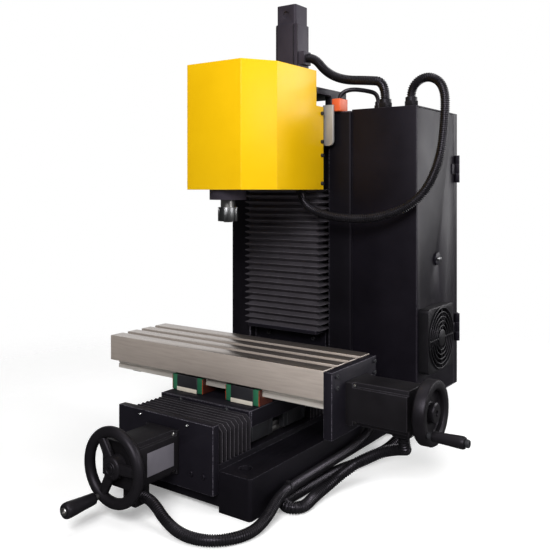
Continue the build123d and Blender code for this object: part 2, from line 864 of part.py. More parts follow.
# End plate of the table, which carries the X motor
x_plate_top = table_top - x_plate_top_gap
x_plate_bottom = table_bottom - x_plate_drop
with BuildPart() as x_end_plate:
    with BuildSketch(along_x(table_right, 0, 0)):
        plate_middle = (table_front + table_back - x_plate_rear_inset) / 2
        with Locations((-plate_middle, -(x_plate_top + x_plate_bottom) / 2)):
            Rectangle(table_width - x_plate_rear_inset, x_plate_top - x_plate_bottom)
        with Locations((-table_middle, -x_axis_height)):
            Circle(coupling_dia / 2 + coupling_clearance, mode=Mode.SUBTRACT)
    extrude(amount=x_plate_thickness)
x_end_plate.part.label = "x_end_plate"
export_step(x_end_plate.part, "parts/x_end_plate.step")

# X motor with a cable box under its rear end
x_motor_plane = Plane(origin=(x_plate_right, table_middle, x_axis_height), x_dir=(0, 1, 0), z_dir=(1, 0, 0))
x_box_middle = x_motor_end - cable_box_inset - cable_box_length / 2
x_outlet_height = x_axis_height - motor_size / 2 - cable_box_height
with BuildPart() as x_motor:
    add(
        square_motor(
            x_motor_plane,
            motor_size,
            motor_notch,
            x_motor_flange,
            motor_length,
            x_motor_flange + motor_length,
        )
    )
    with BuildSketch(Plane.XY.offset(x_axis_height - motor_size / 2)):
        with Locations((x_box_middle, table_middle)):
            Rectangle(cable_box_length, cable_box_width)
    extrude(amount=-cable_box_height)
x_motor.part.label = "x_motor"
export_step(x_motor.part, "parts/x_motor.step")

# X screw: one turned shaft from the left bearing through the motor to the handwheel
x_hub_start = x_motor_end + x_wheel_gap
x_hub_face = x_hub_start + x_wheel_hub_length
x_coupling_start = x_bearing_right + bearing_length + bearing_gap * 2
with BuildPart() as x_screw:
    add(
        turned_shaft(
            along_x(x_bearing_left, table_middle, x_axis_height),
            [
                (journal_dia, bearing_length + bearing_gap),
                (screw_dia, x_bearing_right - x_bearing_left - bearing_length - 2 * bearing_gap),
                (journal_dia, x_coupling_start - x_bearing_right + bearing_gap),
                (coupling_dia, coupling_length),
                (motor_shaft_dia, x_hub_face - bearing_gap - x_coupling_start - coupling_length),
            ],
        )
    )
x_screw.part.label = "x_screw"
export_step(x_screw.part, "parts/x_screw.step")

# X handwheel: a dished disc with a thick flat rim and the pin of the crank grip
x_wheel_axis = Axis((x_hub_face, table_middle, x_axis_height), (1, 0, 0))
x_wheel_section = Plane(origin=(x_hub_face, table_middle, x_axis_height), x_dir=(0, 1, 0), z_dir=(0, 0, -1))
x_crank_place = Vector(0, x_crank_radius, 0).rotate(Axis.X, x_crank_angle)
x_crank_y = table_middle + x_crank_place.Y
x_crank_z = x_axis_height + x_crank_place.Z
x_pin_plane = Plane(origin=(x_hub_face, x_crank_y, x_crank_z), x_dir=(0, 1, 0), z_dir=(1, 0, 0))
with BuildPart() as x_handwheel:
    with BuildSketch(x_wheel_section):
        with BuildLine():
            rim_outer = x_wheel_dia / 2
            rim_inner = rim_outer - x_wheel_rim_width
            web_front = -x_wheel_web_inset
            web_back = web_front - x_wheel_web
            Polyline(
                (motor_shaft_dia / 2, 0),
                (x_wheel_hub_dia / 2, 0),
                (x_wheel_hub_dia / 2, web_front),
                (rim_inner, web_front),
                (rim_inner, 0),
                (rim_outer, 0),
                (rim_outer, -x_wheel_rim_length),
                (rim_inner, -x_wheel_rim_length),
                (rim_inner, web_back),
                (x_wheel_hub_dia / 2, web_back),
                (x_wheel_hub_dia / 2, -x_wheel_hub_length),
                (motor_shaft_dia / 2, -x_wheel_hub_length),
                close=True,
            )
        make_face()
    revolve(axis=x_wheel_axis)
    with BuildSketch(x_pin_plane.offset(web_back)):
        Circle(grip_pin_dia / 2)
    extrude(amount=pin_reach - web_back)
    with BuildSketch(x_pin_plane.offset(pin_reach)):
        Circle(grip_head_dia / 2)
    extrude(amount=grip_head_length)
x_handwheel.part.label = "x_handwheel"
export_step(x_handwheel.part, "parts/x_handwheel.step")

with BuildPart() as x_grip:
    add(crank_grip(x_pin_plane.offset(grip_standoff + grip_gap), Vector(1, 0, 0), (0, 1, 0)))
x_grip.part.label = "x_grip"
export_step(x_grip.part, "parts/x_grip.step")

# Head plate on the column's guides
with BuildPart() as head_plate:
    with BuildSketch(Plane.XY.offset(head_bottom)):
        with Locations((0, (head_plate_front + head_plate_back) / 2)):
            Rectangle(head_plate_width, head_plate_thickness)
    extrude(amount=head_plate_height)
head_plate.part.label = "head_plate"
export_step(head_plate.part, "parts/head_plate.step")

# Guide blocks behind the head plate, each with its end caps
with BuildPart() as z_blocks:
    for side in (-1, 1):
        for centre in (z_block_low, z_block_high):
            place = along_z(side * z_rail_half_spacing, recess_floor, head_bottom + centre - block_body / 2)
            add(guide_slice(place, block_body, 0))
            add(guide_slice(place.offset(-block_cap), block_cap, cap_step))
            add(guide_slice(place.offset(block_body), block_cap, cap_step))
z_blocks.part.label = "z_blocks"
export_step(z_blocks.part, "parts/z_blocks.step")

# Nut of the Z screw, bolted to the head plate and reaching into the column's channel
with BuildPart() as z_nut:
    with BuildSketch(Plane.XY.offset(head_bottom + z_nut_low)):
        with Locations((0, (head_plate_back + z_axis_y + nut_width / 2) / 2)):
            Rectangle(nut_width, z_axis_y + nut_width / 2 - head_plate_back)
        with Locations((0, z_axis_y)):
            Circle(screw_dia / 2 + running_fit, mode=Mode.SUBTRACT)
    extrude(amount=nut_length)
z_nut.part.label = "z_nut"
export_step(z_nut.part, "parts/z_nut.step")

# Spindle housing with its round nose below
housing_front = cover_front + housing_front_gap
with BuildPart() as spindle_housing:
    with BuildSketch(Plane.XY.offset(housing_bottom)):
        with Locations((0, (housing_front + head_plate_front) / 2)):
            Rectangle(housing_width, head_plate_front - housing_front)
    extrude(amount=housing_height)
    with BuildSketch(Plane.XY.offset(head_bottom - nose_drop)):
        with Locations((0, spindle_y)):
            Circle(nose_dia / 2)
    extrude(amount=nose_drop + housing_lift)
    with BuildSketch(Plane.XY.offset(head_bottom - nose_drop)):
        with Locations((0, spindle_y)):
            Circle(spindle_dia / 2 + running_fit)
    extrude(amount=housing_top, mode=Mode.SUBTRACT)
spindle_housing.part.label = "spindle_housing"
export_step(spindle_housing.part, "parts/spindle_housing.step")

# Spindle motor on top of the housing
with BuildPart() as spindle_motor:
    add(
        square_motor(
            Plane((0, spindle_y, housing_top)),
            motor_size,
            motor_notch,
            motor_flange,
            motor_length - motor_flange,
            motor_length / 2,
        )
    )
spindle_motor.part.label = "spindle_motor"
export_step(spindle_motor.part, "parts/spindle_motor.step")

# Spindle with a collet seat, its nut and its collet
nose_bottom = head_bottom - nose_drop
nut_top = nose_bottom - chuck_reach
nut_bottom = nut_top - collet_nut_height
spindle_end = nut_bottom + collet_nut_lip
collet_start = nut_bottom - collet_proud
with BuildPart() as spindle_shaft:
    add(
        turned_shaft(
            Plane((0, spindle_y, spindle_end)),
            [
                (spindle_thread_dia, nut_top - spindle_end),
                (spindle_dia, housing_top - nut_top),
                (motor_shaft_dia, spindle_tail),
            ],
        )
    )
    with BuildSketch(Plane((0, spindle_y, spindle_end))):
        Circle(collet_dia / 2)
    extrude(amount=collet_start + collet_length - spindle_end, mode=Mode.SUBTRACT)
spindle_shaft.part.label = "spindle_shaft"
export_step(spindle_shaft.part, "parts/spindle_shaft.step")

with BuildPart() as collet_nut:
    with BuildSketch(Plane((0, spindle_y, nut_bottom))):
        Circle(collet_nut_dia / 2)
        with PolarLocations(collet_nut_dia / 2, collet_nut_slot_count):
            Rectangle(2 * collet_nut_slot_depth, collet_nut_slot_width, mode=Mode.SUBTRACT)
    extrude(amount=collet_nut_height)
    with BuildSketch(Plane((0, spindle_y, spindle_end))):
        Circle(spindle_thread_dia / 2)
    extrude(amount=collet_nut_height, mode=Mode.SUBTRACT)
    with BuildSketch(Plane((0, spindle_y, nut_bottom))):
        Circle(collet_dia / 2)
    extrude(amount=collet_nut_lip, mode=Mode.SUBTRACT)
collet_nut.part.label = "collet_nut"
export_step(collet_nut.part, "parts/collet_nut.step")

with BuildPart() as collet:
    with BuildSketch(Plane((0, spindle_y, collet_start))):
        Circle(collet_dia / 2)
        Circle(collet_bore / 2, mode=Mode.SUBTRACT)
    extrude(amount=collet_length)
collet.part.label = "collet"
export_step(collet.part, "parts/collet.step")

# Head cover: one folded sheet, open behind and below, notched to pass the Z motor bracket
with BuildPart() as head_cover:
    with BuildSketch(Plane.XY.offset(head_bottom)):
        with BuildLine():
            Polyline(
                (-cover_front_width / 2, cover_front),
                (cover_front_width / 2, cover_front),
                (cover_width / 2, cover_shoulder),
                (cover_width / 2, cover_back),
                (-cover_width / 2, cover_back),
                (-cover_width / 2, cover_shoulder),
                close=True,
            )
        make_face()
    extrude(amount=cover_top - head_bottom)
    open_faces = [head_cover.faces().sort_by(Axis.Z)[0], head_cover.faces().sort_by(Axis.Y)[-1]]
    offset(amount=-cover_sheet, openings=open_faces, kind=Kind.INTERSECTION)
    with BuildSketch(Plane.XY.offset(head_bottom + cover_notch_height)):
        with Locations((0, cover_back)):
            Rectangle(cover_width + overrun, 2 * cover_notch_depth)
    extrude(amount=cover_top - head_bottom, mode=Mode.SUBTRACT)
head_cover.part.label = "head_cover"
export_step(head_cover.part, "parts/head_cover.step")

# Striker plate of the upper limit, screwed behind the head plate's right edge
with BuildPart() as striker:
    with BuildSketch(along_y(0, head_plate_back, head_bottom + striker_low)):
        with Locations((-head_plate_width / 2 - striker_width / 2 + striker_overlap, striker_height / 2)):
            Rectangle(striker_width, striker_height)
    extrude(amount=striker_thickness)
    fillet(striker.edges().filter_by(Axis.Y).group_by(Axis.X)[-1].sort_by(Axis.Z)[0], striker_corner)
striker.part.label = "striker"
export_step(striker.part, "parts/striker.step")

# Z motor bracket: a plate over the column's top on two side walls
with BuildPart() as z_motor_bracket:
    with BuildSketch(Plane.XY.offset(bracket_bottom)):
        with Locations((0, bracket_front + bracket_depth / 2)):
            Rectangle(bracket_width, bracket_depth)
        with Locations((0, z_axis_y)):
            Circle(coupling_dia / 2 + coupling_clearance, mode=Mode.SUBTRACT)
    extrude(amount=bracket_plate)
    with BuildSketch(Plane.XY.offset(column_top)):
        for side in (-1, 1):
            wall_x = side * (bracket_width - bracket_wall) / 2
            with Locations((wall_x, bracket_front + bracket_depth - bracket_wall_depth / 2)):
                Rectangle(bracket_wall, bracket_wall_depth)
    extrude(amount=bracket_gap)
z_motor_bracket.part.label = "z_motor_bracket"
export_step(z_motor_bracket.part, "parts/z_motor_bracket.step")

# Z motor with an encoder cap and the outlet of its conduit
z_motor_plane = Plane((0, z_axis_y, bracket_top))
z_outlet_height = bracket_top + z_motor_length / 2
z_outlet_x = z_motor_size / 2 + cable_box_height
with BuildPart() as z_motor:
    add(
        square_motor(
            z_motor_plane,
            z_motor_size,
            z_motor_notch,
            motor_flange,
            z_motor_length - motor_flange,
            motor_socket_depth,
        )
    )
    with BuildSketch(z_motor_plane.offset(z_motor_length)):
        RectangleRounded(encoder_size, encoder_size, z_motor_notch)
    extrude(amount=encoder_length)
    port_height = bracket_top + z_motor_length + encoder_length / 2
    with BuildSketch(along_y(0, z_axis_y - encoder_size / 2, port_height)):
        Circle(encoder_port / 2)
    extrude(amount=encoder_port_depth, mode=Mode.SUBTRACT)
    with BuildSketch(Plane(origin=(z_motor_size / 2, z_axis_y, z_outlet_height), z_dir=(1, 0, 0))):
        Rectangle(cable_box_width, cable_box_width)
    extrude(amount=cable_box_height)
z_motor.part.label = "z_motor"
export_step(z_motor.part, "parts/z_motor.step")

# Z screw and its coupling, which shows in the bracket's gap
z_shaft_end = bracket_top + motor_socket_depth
with BuildPart() as z_screw:
    add(
        turned_shaft(
            Plane((0, z_axis_y, z_bearing_low)),
            [
                (journal_dia, bearing_length + bearing_gap),
                (screw_dia, z_bearing_high - z_bearing_low - bearing_length - 2 * bearing_gap),
                (journal_dia, bearing_length + 2 * bearing_gap),
                (motor_shaft_dia, z_shaft_end - bearing_gap - z_bearing_high - bearing_length),
            ],
        )
    )
z_screw.part.label = "z_screw"
export_step(z_screw.part, "parts/z_screw.step")

with BuildPart() as z_coupling:
    with BuildSketch(Plane((0, z_axis_y, column_top + bearing_gap))):
        Circle(coupling_dia / 2)
        Circle(motor_shaft_dia / 2, mode=Mode.SUBTRACT)
    extrude(amount=coupling_length)
z_coupling.part.label = "z_coupling"
export_step(z_coupling.part, "parts/z_coupling.step")

# Bellows of the Z axis, between the head plate and a bracket in the column's recess
z_bellows_depth = z_bellows_proud + z_bellows_tuck
z_bellows_back = column_front + z_bellows_tuck
with BuildPart() as z_bellows:
    add(
        bellows(
            along_z(0, z_bellows_back, z_bellows_bottom),
            z_bellows_width,
            z_bellows_depth,
            head_bottom - z_bellows_bottom,
            z_bellows_folds,
        )
    )
z_bellows.part.label = "z_bellows"
export_step(z_bellows.part, "parts/z_bellows.step")

with BuildPart() as bellows_bracket:
    with BuildSketch(Plane.YZ):
        with BuildLine():
            Polyline(
                (recess_floor, z_bellows_bottom),
                (recess_floor, z_bellows_bottom - bellows_bracket_height),
                (recess_floor - bellows_bracket_sheet, z_bellows_bottom - bellows_bracket_height),
                (recess_floor - bellows_bracket_sheet, z_bellows_bottom - bellows_bracket_sheet),
                (column_front - z_bellows_proud, z_bellows_bottom - bellows_bracket_sheet),
                (column_front - z_bellows_proud, z_bellows_bottom),
                close=True,
            )
        make_face()
    extrude(amount=bellows_bracket_width / 2, both=True)
bellows_bracket.part.label = "bellows_bracket"
export_step(bellows_bracket.part, "parts/bellows_bracket.step")

# Bellows of the Y axis, in front of the saddle and behind it
y_bellows_bottom = bed_height + y_bellows_lift
with BuildPart() as y_bellows:
    add(
        bellows(
            along_y(0, base_front, y_bellows_bottom),
            y_bellows_width,
            y_bellows_height,
            saddle_plate_front - base_front,
            y_front_folds,
        )
    )
    add(
        bellows(
            along_y(0, saddle_back, y_bellows_bottom),
            y_bellows_width,
            y_bellows_height,
            column_front - saddle_back,
            y_rear_folds,
        )
    )
y_bellows.part.label = "y_bellows"
export_step(y_bellows.part, "parts/y_bellows.step")

# Control cabinet: a sheet case, open to the right, with a hinge strip along its back edge
with BuildPart() as cabinet_body:
    with BuildSketch(Plane.XY.offset(cabinet_bottom)):
        with Locations(((cabinet_left + cabinet_right) / 2, (cabinet_front + cabinet_back) / 2)):
            Rectangle(cabinet_width, cabinet_depth)
    extrude(amount=cabinet_top - cabinet_bottom)
    offset(amount=-cabinet_sheet, openings=cabinet_body.faces().sort_by(Axis.X)[-1], kind=Kind.INTERSECTION)
    with BuildSketch(Plane.XY.offset(cabinet_bottom)):
        with Locations((cabinet_right - cabinet_sheet / 2, cabinet_back - cabinet_hinge_strip / 2)):
            Rectangle(cabinet_sheet, cabinet_hinge_strip)
    extrude(amount=cabinet_top - cabinet_bottom)
cabinet_body.part.label = "cabinet_body"
export_step(cabinet_body.part, "parts/cabinet_body.step")

# Door with the openings for the fan and the lock
door_low = cabinet_bottom + cabinet_sheet + door_gap
door_high = cabinet_top - cabinet_sheet - door_gap
door_plane = Plane(origin=(door_inside, 0, 0), x_dir=(0, 1, 0), z_dir=(1, 0, 0))
with BuildPart() as cabinet_door:
    with BuildSketch(door_plane):
        with Locations(((door_front + door_gap + door_back) / 2, (door_low + door_high) / 2)):
            Rectangle(door_back - door_front - door_gap, door_high - door_low)
        with Locations((fan_y, fan_height)):
            Circle(fan_bore / 2, mode=Mode.SUBTRACT)
        with Locations((lock_y, lock_height)):
            Circle(lock_dia / 2 + running_fit, mode=Mode.SUBTRACT)
    extrude(amount=cabinet_sheet)
cabinet_door.part.label = "cabinet_door"
export_step(cabinet_door.part, "parts/cabinet_door.step")

# Outside hinges: the case's leaves with their pins, then the door's leaves
knuckle = hinge_height * hinge_knuckle_share
with BuildPart() as cabinet_hinges:
    for start in (hinge_low, hinge_high):
        for end_start in (start, start + hinge_height - knuckle):
            with BuildSketch(Plane.XY.offset(end_start)):
                with Locations((hinge_x, hinge_y)):
                    Circle(hinge_dia / 2)
                with Locations((cabinet_right + hinge_leaf / 2, (hinge_y + cabinet_back) / 2)):
                    Rectangle(hinge_leaf, cabinet_back - hinge_y)
            extrude(amount=knuckle)
        with BuildSketch(Plane.XY.offset(start)):
            with Locations((hinge_x, hinge_y)):
                Circle(hinge_pin_dia / 2)
        extrude(amount=hinge_height)
cabinet_hinges.part.label = "cabinet_hinges"
export_step(cabinet_hinges.part, "parts/cabinet_hinges.step")

leaf_start = cabinet_right + slide_gap
leaf_front = hinge_y - hinge_leaf_reach
with BuildPart() as door_hinges:
    for start in (hinge_low, hinge_high):
        with BuildSketch(Plane.XY.offset(start + knuckle + slide_gap)):
            with Locations((hinge_x, hinge_y)):
                Circle(hinge_dia / 2)
            with Locations((leaf_start + hinge_leaf / 2, (leaf_front + hinge_y) / 2)):
                Rectangle(hinge_leaf, hinge_y - leaf_front)
            with Locations((cabinet_right + slide_gap / 2, (leaf_front + door_back) / 2)):
                Rectangle(slide_gap, door_back - leaf_front)
            with Locations((cabinet_right, hinge_y)):
                Rectangle(2 * slide_gap, hinge_dia, mode=Mode.SUBTRACT)
            with Locations((hinge_x, hinge_y)):
                Circle(hinge_pin_dia / 2 + running_fit, mode=Mode.SUBTRACT)
        extrude(amount=hinge_height - 2 * knuckle - 2 * slide_gap)
door_hinges.part.label = "door_hinges"
export_step(door_hinges.part, "parts/door_hinges.step")

# Quarter-turn lock with its cam behind the door
lock_plane = Plane(origin=(cabinet_right, lock_y, lock_height), x_dir=(0, 1, 0), z_dir=(1, 0, 0))
with BuildPart() as door_lock:
    with BuildSketch(lock_plane.offset(running_fit)):
        Circle(lock_head_dia / 2)
    extrude(amount=lock_head_length)
    with BuildSketch(lock_plane.offset(running_fit)):
        Circle(lock_dia / 2)
    extrude(amount=-lock_body_length)
    with BuildSketch(lock_plane.offset(-lock_body_length)):
        with Locations((0, lock_cam_length / 2 - lock_cam_width / 2)):
            Rectangle(lock_cam_width, lock_cam_length)
    extrude(amount=lock_cam_thickness)
door_lock.part.label = "door_lock"
export_step(door_lock.part, "parts/door_lock.step")

# Fan on the door: square frame with a spider, turning rotor and a ring guard
fan_plane = Plane(origin=(cabinet_right, fan_y, fan_height), x_dir=(0, 1, 0), z_dir=(1, 0, 0))
with BuildPart() as fan_frame:
    with BuildSketch(fan_plane):
        RectangleRounded(fan_size, fan_size, fan_corner)
        Circle(fan_bore / 2, mode=Mode.SUBTRACT)
    extrude(amount=fan_depth - guard_ring)
    with BuildSketch(fan_plane):
        Rectangle(fan_bore + overrun, fan_spider_width)
        Rectangle(fan_spider_width, fan_bore + overrun)
    extrude(amount=fan_spider_depth)
    with BuildSketch(fan_plane):
        Circle(fan_shaft / 2)
    extrude(amount=fan_spider_depth + fan_hub_depth / 2)
fan_frame.part.label = "fan_frame"
export_step(fan_frame.part, "parts/fan_frame.step")

rotor_start = fan_spider_depth + running_fit
with BuildPart() as fan_rotor:
    with BuildSketch(fan_plane.offset(rotor_start)):
        Circle(fan_hub / 2)
    extrude(amount=fan_hub_depth)
    blade_reach = fan_bore / 2 - fan_tip_gap
    for index in range(fan_blade_count):
        spoke = Vector(0, 1, 0).rotate(Axis.X, index * 360 / fan_blade_count)
        blade_middle = fan_plane.offset(rotor_start + fan_hub_depth / 2).origin
        blade_plane = Plane(origin=blade_middle, x_dir=(1, 0, 0), z_dir=spoke)
        with BuildSketch(blade_plane.offset(fan_blade_root)):
            Rectangle(fan_hub_depth, fan_blade_thickness, rotation=fan_blade_pitch)
        extrude(amount=blade_reach - fan_blade_root)
    with BuildSketch(fan_plane.offset(rotor_start)):
        Circle(fan_shaft / 2 + running_fit)
    extrude(amount=fan_hub_depth / 2 + overrun, mode=Mode.SUBTRACT)
fan_rotor.part.label = "fan_rotor"
export_step(fan_rotor.part, "parts/fan_rotor.step")

with BuildPart() as fan_guard:
    with BuildSketch(fan_plane.offset(fan_depth - guard_ring)):
        for share in guard_ring_shares:
            Circle(share * fan_size / 2)
            Circle(share * fan_size / 2 - guard_ring, mode=Mode.SUBTRACT)
        Rectangle(fan_size * guard_ring_shares[0] - guard_ring, guard_ring)
        Rectangle(guard_ring, fan_size * guard_ring_shares[0] - guard_ring)
        Circle(guard_hub / 2)
    extrude(amount=guard_ring)
fan_guard.part.label = "fan_guard"
export_step(fan_guard.part, "parts/fan_guard.step")

# Control modules on the cabinet's inner wall: a supply below and three finned motor drives
module_wall = cabinet_left + cabinet_sheet
module_middle = (cabinet_front + cabinet_back) / 2
module_plane = Plane(origin=(module_wall, module_middle, cabinet_bottom), x_dir=(0, 1, 0), z_dir=(1, 0, 0))
with BuildPart() as control_modules:
    with BuildSketch(module_plane):
        with Locations((0, supply_low + supply_height / 2)):
            Rectangle(supply_depth, supply_height)
    extrude(amount=supply_width)
    for index in range(drive_count):
        drive_middle = drive_low + index * drive_pitch + drive_height / 2
        with BuildSketch(module_plane):
            with Locations((0, drive_middle)):
                Rectangle(drive_depth, drive_height)
        extrude(amount=drive_width)
        with BuildSketch(module_plane):
            with Locations((0, drive_middle + drive_height / 2 + drive_fin_height / 2)):
                with GridLocations(drive_depth / drive_fins, 0, drive_fins, 1):
                    Rectangle(drive_fin_width, drive_fin_height)
        extrude(amount=drive_width)
control_modules.part.label = "control_modules"
export_step(control_modules.part, "parts/control_modules.step")

# Limit sensor on the column's top right corner
sensor_x = column_side - sensor_side_inset
sensor_y = column_front - sensor_overhang + sensor_depth / 2
with BuildPart() as limit_sensor:
    with BuildSketch(Plane.XY.offset(column_top)):
        with Locations((sensor_x, sensor_y)):
            Rectangle(sensor_width, sensor_depth)
    extrude(amount=sensor_height)
limit_sensor.part.label = "limit_sensor"
export_step(limit_sensor.part, "parts/limit_sensor.step")

# Routes of the conduits, each from its machine end to the cabinet
top_gland_z = cabinet_top + gland_height
bottom_gland_z = cabinet_bottom - gland_height
shelf_bottom = head_bottom + head_shelf_lift
head_gland_x = head_plate_width / 2 - head_gland_inset
head_gland_y = head_plate_front - head_gland_reach
x_loop_start = Vector(saddle_width / 2 + x_loop_reach, saddle_front + x_loop_setback, x_loop_height)
x_loop_way = Vector(*x_lower_first_steps[0]).normalized()
top_entry_y = cabinet_front + top_entry_setback
head_route = follow_ends(
    (head_gland_x, head_gland_y, shelf_bottom - gland_height - slide_gap),
    head_first_steps,
    head_last_steps,
    (cabinet_left + head_entry_inset, top_entry_y, top_gland_z),
)
z_motor_route = follow_ends(
    (z_outlet_x, z_axis_y, z_outlet_height),
    z_motor_first_steps,
    z_motor_last_steps,
    (cabinet_left + z_entry_inset, top_entry_y, top_gland_z),
)
sensor_route = follow_ends(
    (sensor_x, sensor_y, column_top + sensor_height),
    sensor_first_steps,
    sensor_last_steps,
    (cabinet_left + sensor_entry_inset, cabinet_front + sensor_entry_setback, top_gland_z),
)
y_motor_route = follow_ends(
    (cable_box_width, y_box_middle, y_outlet_height),
    y_motor_first_steps,
    y_motor_last_steps,
    (cabinet_left + y_entry_inset, cabinet_front + y_entry_setback, bottom_gland_z),
)
x_lower_route = follow_ends(
    tuple(x_loop_start + x_loop_way * slide_gap),
    x_lower_first_steps,
    x_lower_last_steps,
    (cabinet_left + x_entry_inset, cabinet_front + x_entry_setback, bottom_gland_z),
)
x_upper_route = follow_ends(
    tuple(x_loop_start),
    x_upper_first_steps,
    x_upper_last_steps,
    (x_box_middle, table_middle, x_outlet_height - slide_gap),
)
top_glands = [
    (head_route[-1], head_conduit_dia),
    (z_motor_route[-1], z_conduit_dia),
    (sensor_route[-1], sensor_cable_dia),
]
bottom_glands = [(y_motor_route[-1], y_conduit_dia), (x_lower_route[-1], x_conduit_dia)]

with BuildPart() as head_conduit:
    add(conduit("head_conduit", head_route, head_conduit_dia))
head_conduit.part.label = "head_conduit"
export_step(head_conduit.part, "parts/head_conduit.step")

with BuildPart() as z_motor_conduit:
    add(conduit("z_motor_conduit", z_motor_route, z_conduit_dia))
z_motor_conduit.part.label = "z_motor_conduit"
export_step(z_motor_conduit.part, "parts/z_motor_conduit.step")

with BuildPart() as sensor_cable:
    add(conduit("sensor_cable", sensor_route, sensor_cable_dia))
sensor_cable.part.label = "sensor_cable"
export_step(sensor_cable.part, "parts/sensor_cable.step")

with BuildPart() as y_motor_conduit:
    add(conduit("y_motor_conduit", y_motor_route, y_conduit_dia))
y_motor_conduit.part.label = "y_motor_conduit"
export_step(y_motor_conduit.part, "parts/y_motor_conduit.step")

with BuildPart() as x_conduit_lower:
    add(conduit("x_conduit_lower", x_lower_route, x_conduit_dia))
x_conduit_lower.part.label = "x_conduit_lower"
export_step(x_conduit_lower.part, "parts/x_conduit_lower.step")

with BuildPart() as x_conduit_upper:
    add(conduit("x_conduit_upper", x_upper_route, x_conduit_dia))
x_conduit_upper.part.label = "x_conduit_upper"
export_step(x_conduit_upper.part, "parts/x_conduit_upper.step")

# Glands on the cabinet's top and bottom, where the conduits go in
with BuildPart() as cable_glands:
    for end, diameter in top_glands:
        add(cable_gland(Plane((end[0], end[1], cabinet_top)), diameter))
    for end, diameter in bottom_glands:
        add(cable_gland(Plane(origin=(end[0], end[1], cabinet_bottom), z_dir=(0, 0, -1)), diameter))
cable_glands.part.label = "cable_glands"
export_step(cable_glands.part, "parts/cable_glands.step")

# Gland of the head's conduit, on a shelf between the spindle housing and the head plate
shelf_reach = head_gland_reach + head_conduit_dia
with BuildPart() as head_gland:
    with BuildSketch(Plane.XY.offset(shelf_bottom)):
        with Locations(((housing_width / 2 + head_plate_width / 2) / 2, head_plate_front - shelf_reach / 2)):
            Rectangle((head_plate_width - housing_width) / 2 - head_shelf_gap, shelf_reach)
    extrude(amount=cover_sheet)
    gland_plane = Plane(origin=(head_gland_x, head_gland_y, shelf_bottom), z_dir=(0, 0, -1))
    add(cable_gland(gland_plane, head_conduit_dia))
head_gland.part.label = "head_gland"
export_step(head_gland.part, "parts/head_gland.step")
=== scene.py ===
import json
import math

import bmesh
import bpy
from mathutils import Matrix, Vector


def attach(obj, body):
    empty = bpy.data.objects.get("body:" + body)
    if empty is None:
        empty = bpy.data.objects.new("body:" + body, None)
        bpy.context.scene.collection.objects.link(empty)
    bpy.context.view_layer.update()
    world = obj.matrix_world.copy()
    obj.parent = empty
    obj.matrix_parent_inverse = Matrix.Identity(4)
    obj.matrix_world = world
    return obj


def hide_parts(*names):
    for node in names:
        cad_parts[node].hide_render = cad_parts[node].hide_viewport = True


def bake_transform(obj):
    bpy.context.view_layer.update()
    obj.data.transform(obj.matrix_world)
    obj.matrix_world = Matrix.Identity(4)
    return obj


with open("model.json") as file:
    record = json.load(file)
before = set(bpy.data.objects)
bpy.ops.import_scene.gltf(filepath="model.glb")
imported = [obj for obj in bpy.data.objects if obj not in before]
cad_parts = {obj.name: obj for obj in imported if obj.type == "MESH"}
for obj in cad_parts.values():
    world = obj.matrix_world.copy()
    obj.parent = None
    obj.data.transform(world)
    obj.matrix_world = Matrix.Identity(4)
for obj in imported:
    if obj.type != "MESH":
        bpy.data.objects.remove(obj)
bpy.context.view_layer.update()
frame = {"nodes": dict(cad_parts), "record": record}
nodes = frame["nodes"]
bodyOf = {node: body for body, names in frame["record"]["behaviour"]["bodies"].items() for node in names}
scene = bpy.context.scene
mm = 0.001
print("frame loaded", len(nodes), "nodes")


def toMetres(point):
    return Vector(point) * mm


# the photo's view, found from the machine's upright and level edges
view = {"place": (680.5, -944.3, 415.0), "turn": 35.3, "lens": 47.17, "shiftY": -0.1551}
camera = bpy.data.objects.new("photoCamera", bpy.data.cameras.new("photoCamera"))
camera.location = toMetres(view["place"])
camera.rotation_euler = (math.radians(90), 0, math.radians(view["turn"]))
camera.data.lens = view["lens"]
camera.data.sensor_width = 36
camera.data.shift_y = view["shiftY"]
camera.data.clip_start = 0.01
scene.collection.objects.link(camera)
scene.camera = camera
scene.view_settings.view_transform = "Standard"

# lamps in mm and watts, the floor in m except its drop in mm
studio = {
    "lamps": {
        "frontLamp": {"place": (900, -1900, 1500), "size": 1000, "power": 50},
        "rightLamp": {"place": (2200, -300, 1000), "size": 900, "power": 18},
        "leftLamp": {"place": (-1550, 1250, 620), "size": 1100, "power": 3.4},
        "backLamp": {"place": (1250, 1550, 850), "size": 1300, "power": 29},
        "topLamp": {"place": (0, 0, 2300), "size": 1600, "power": 14},
    },
    "aim": (40, -40, 300),
    "ambient": 0.07,
    "floorTone": 0.96,
    "floorInGloss": 0.04,
    "floorGlow": 0.24,
    "floorRadius": 1.15,
    "floorSolid": 0.42,
    "floorRough": 0.9,
    "floorSpecular": 0.1,
    "floorDrop": 0.4,
}
for lampName, lampSize in studio["lamps"].items():
    lamp = bpy.data.lights.new(lampName, "AREA")
    lamp.size = lampSize["size"] * mm
    lamp.energy = lampSize["power"]
    lampObject = bpy.data.objects.new(lampName, lamp)
    lampObject.location = toMetres(lampSize["place"])
    towards = toMetres(studio["aim"]) - lampObject.location
    lampObject.rotation_euler = towards.to_track_quat("-Z", "Y").to_euler()
    scene.collection.objects.link(lampObject)


def seenDirectly(tree):
    # 1 for what the camera sees, 0 for every other ray
    return tree.nodes.new("ShaderNodeLightPath").outputs["Is Camera Ray"]


world = bpy.data.worlds.new("studioWorld")
scene.world = world
world.use_nodes = True
backdrop = world.node_tree.nodes["Background"]
backdrop.inputs["Color"].default_value = (1, 1, 1, 1)
strength = world.node_tree.nodes.new("ShaderNodeMapRange")
strength.inputs["To Min"].default_value = studio["ambient"]
strength.inputs["To Max"].default_value = 1.0
world.node_tree.links.new(seenDirectly(world.node_tree), strength.inputs["Value"])
world.node_tree.links.new(strength.outputs["Result"], backdrop.inputs["Strength"])

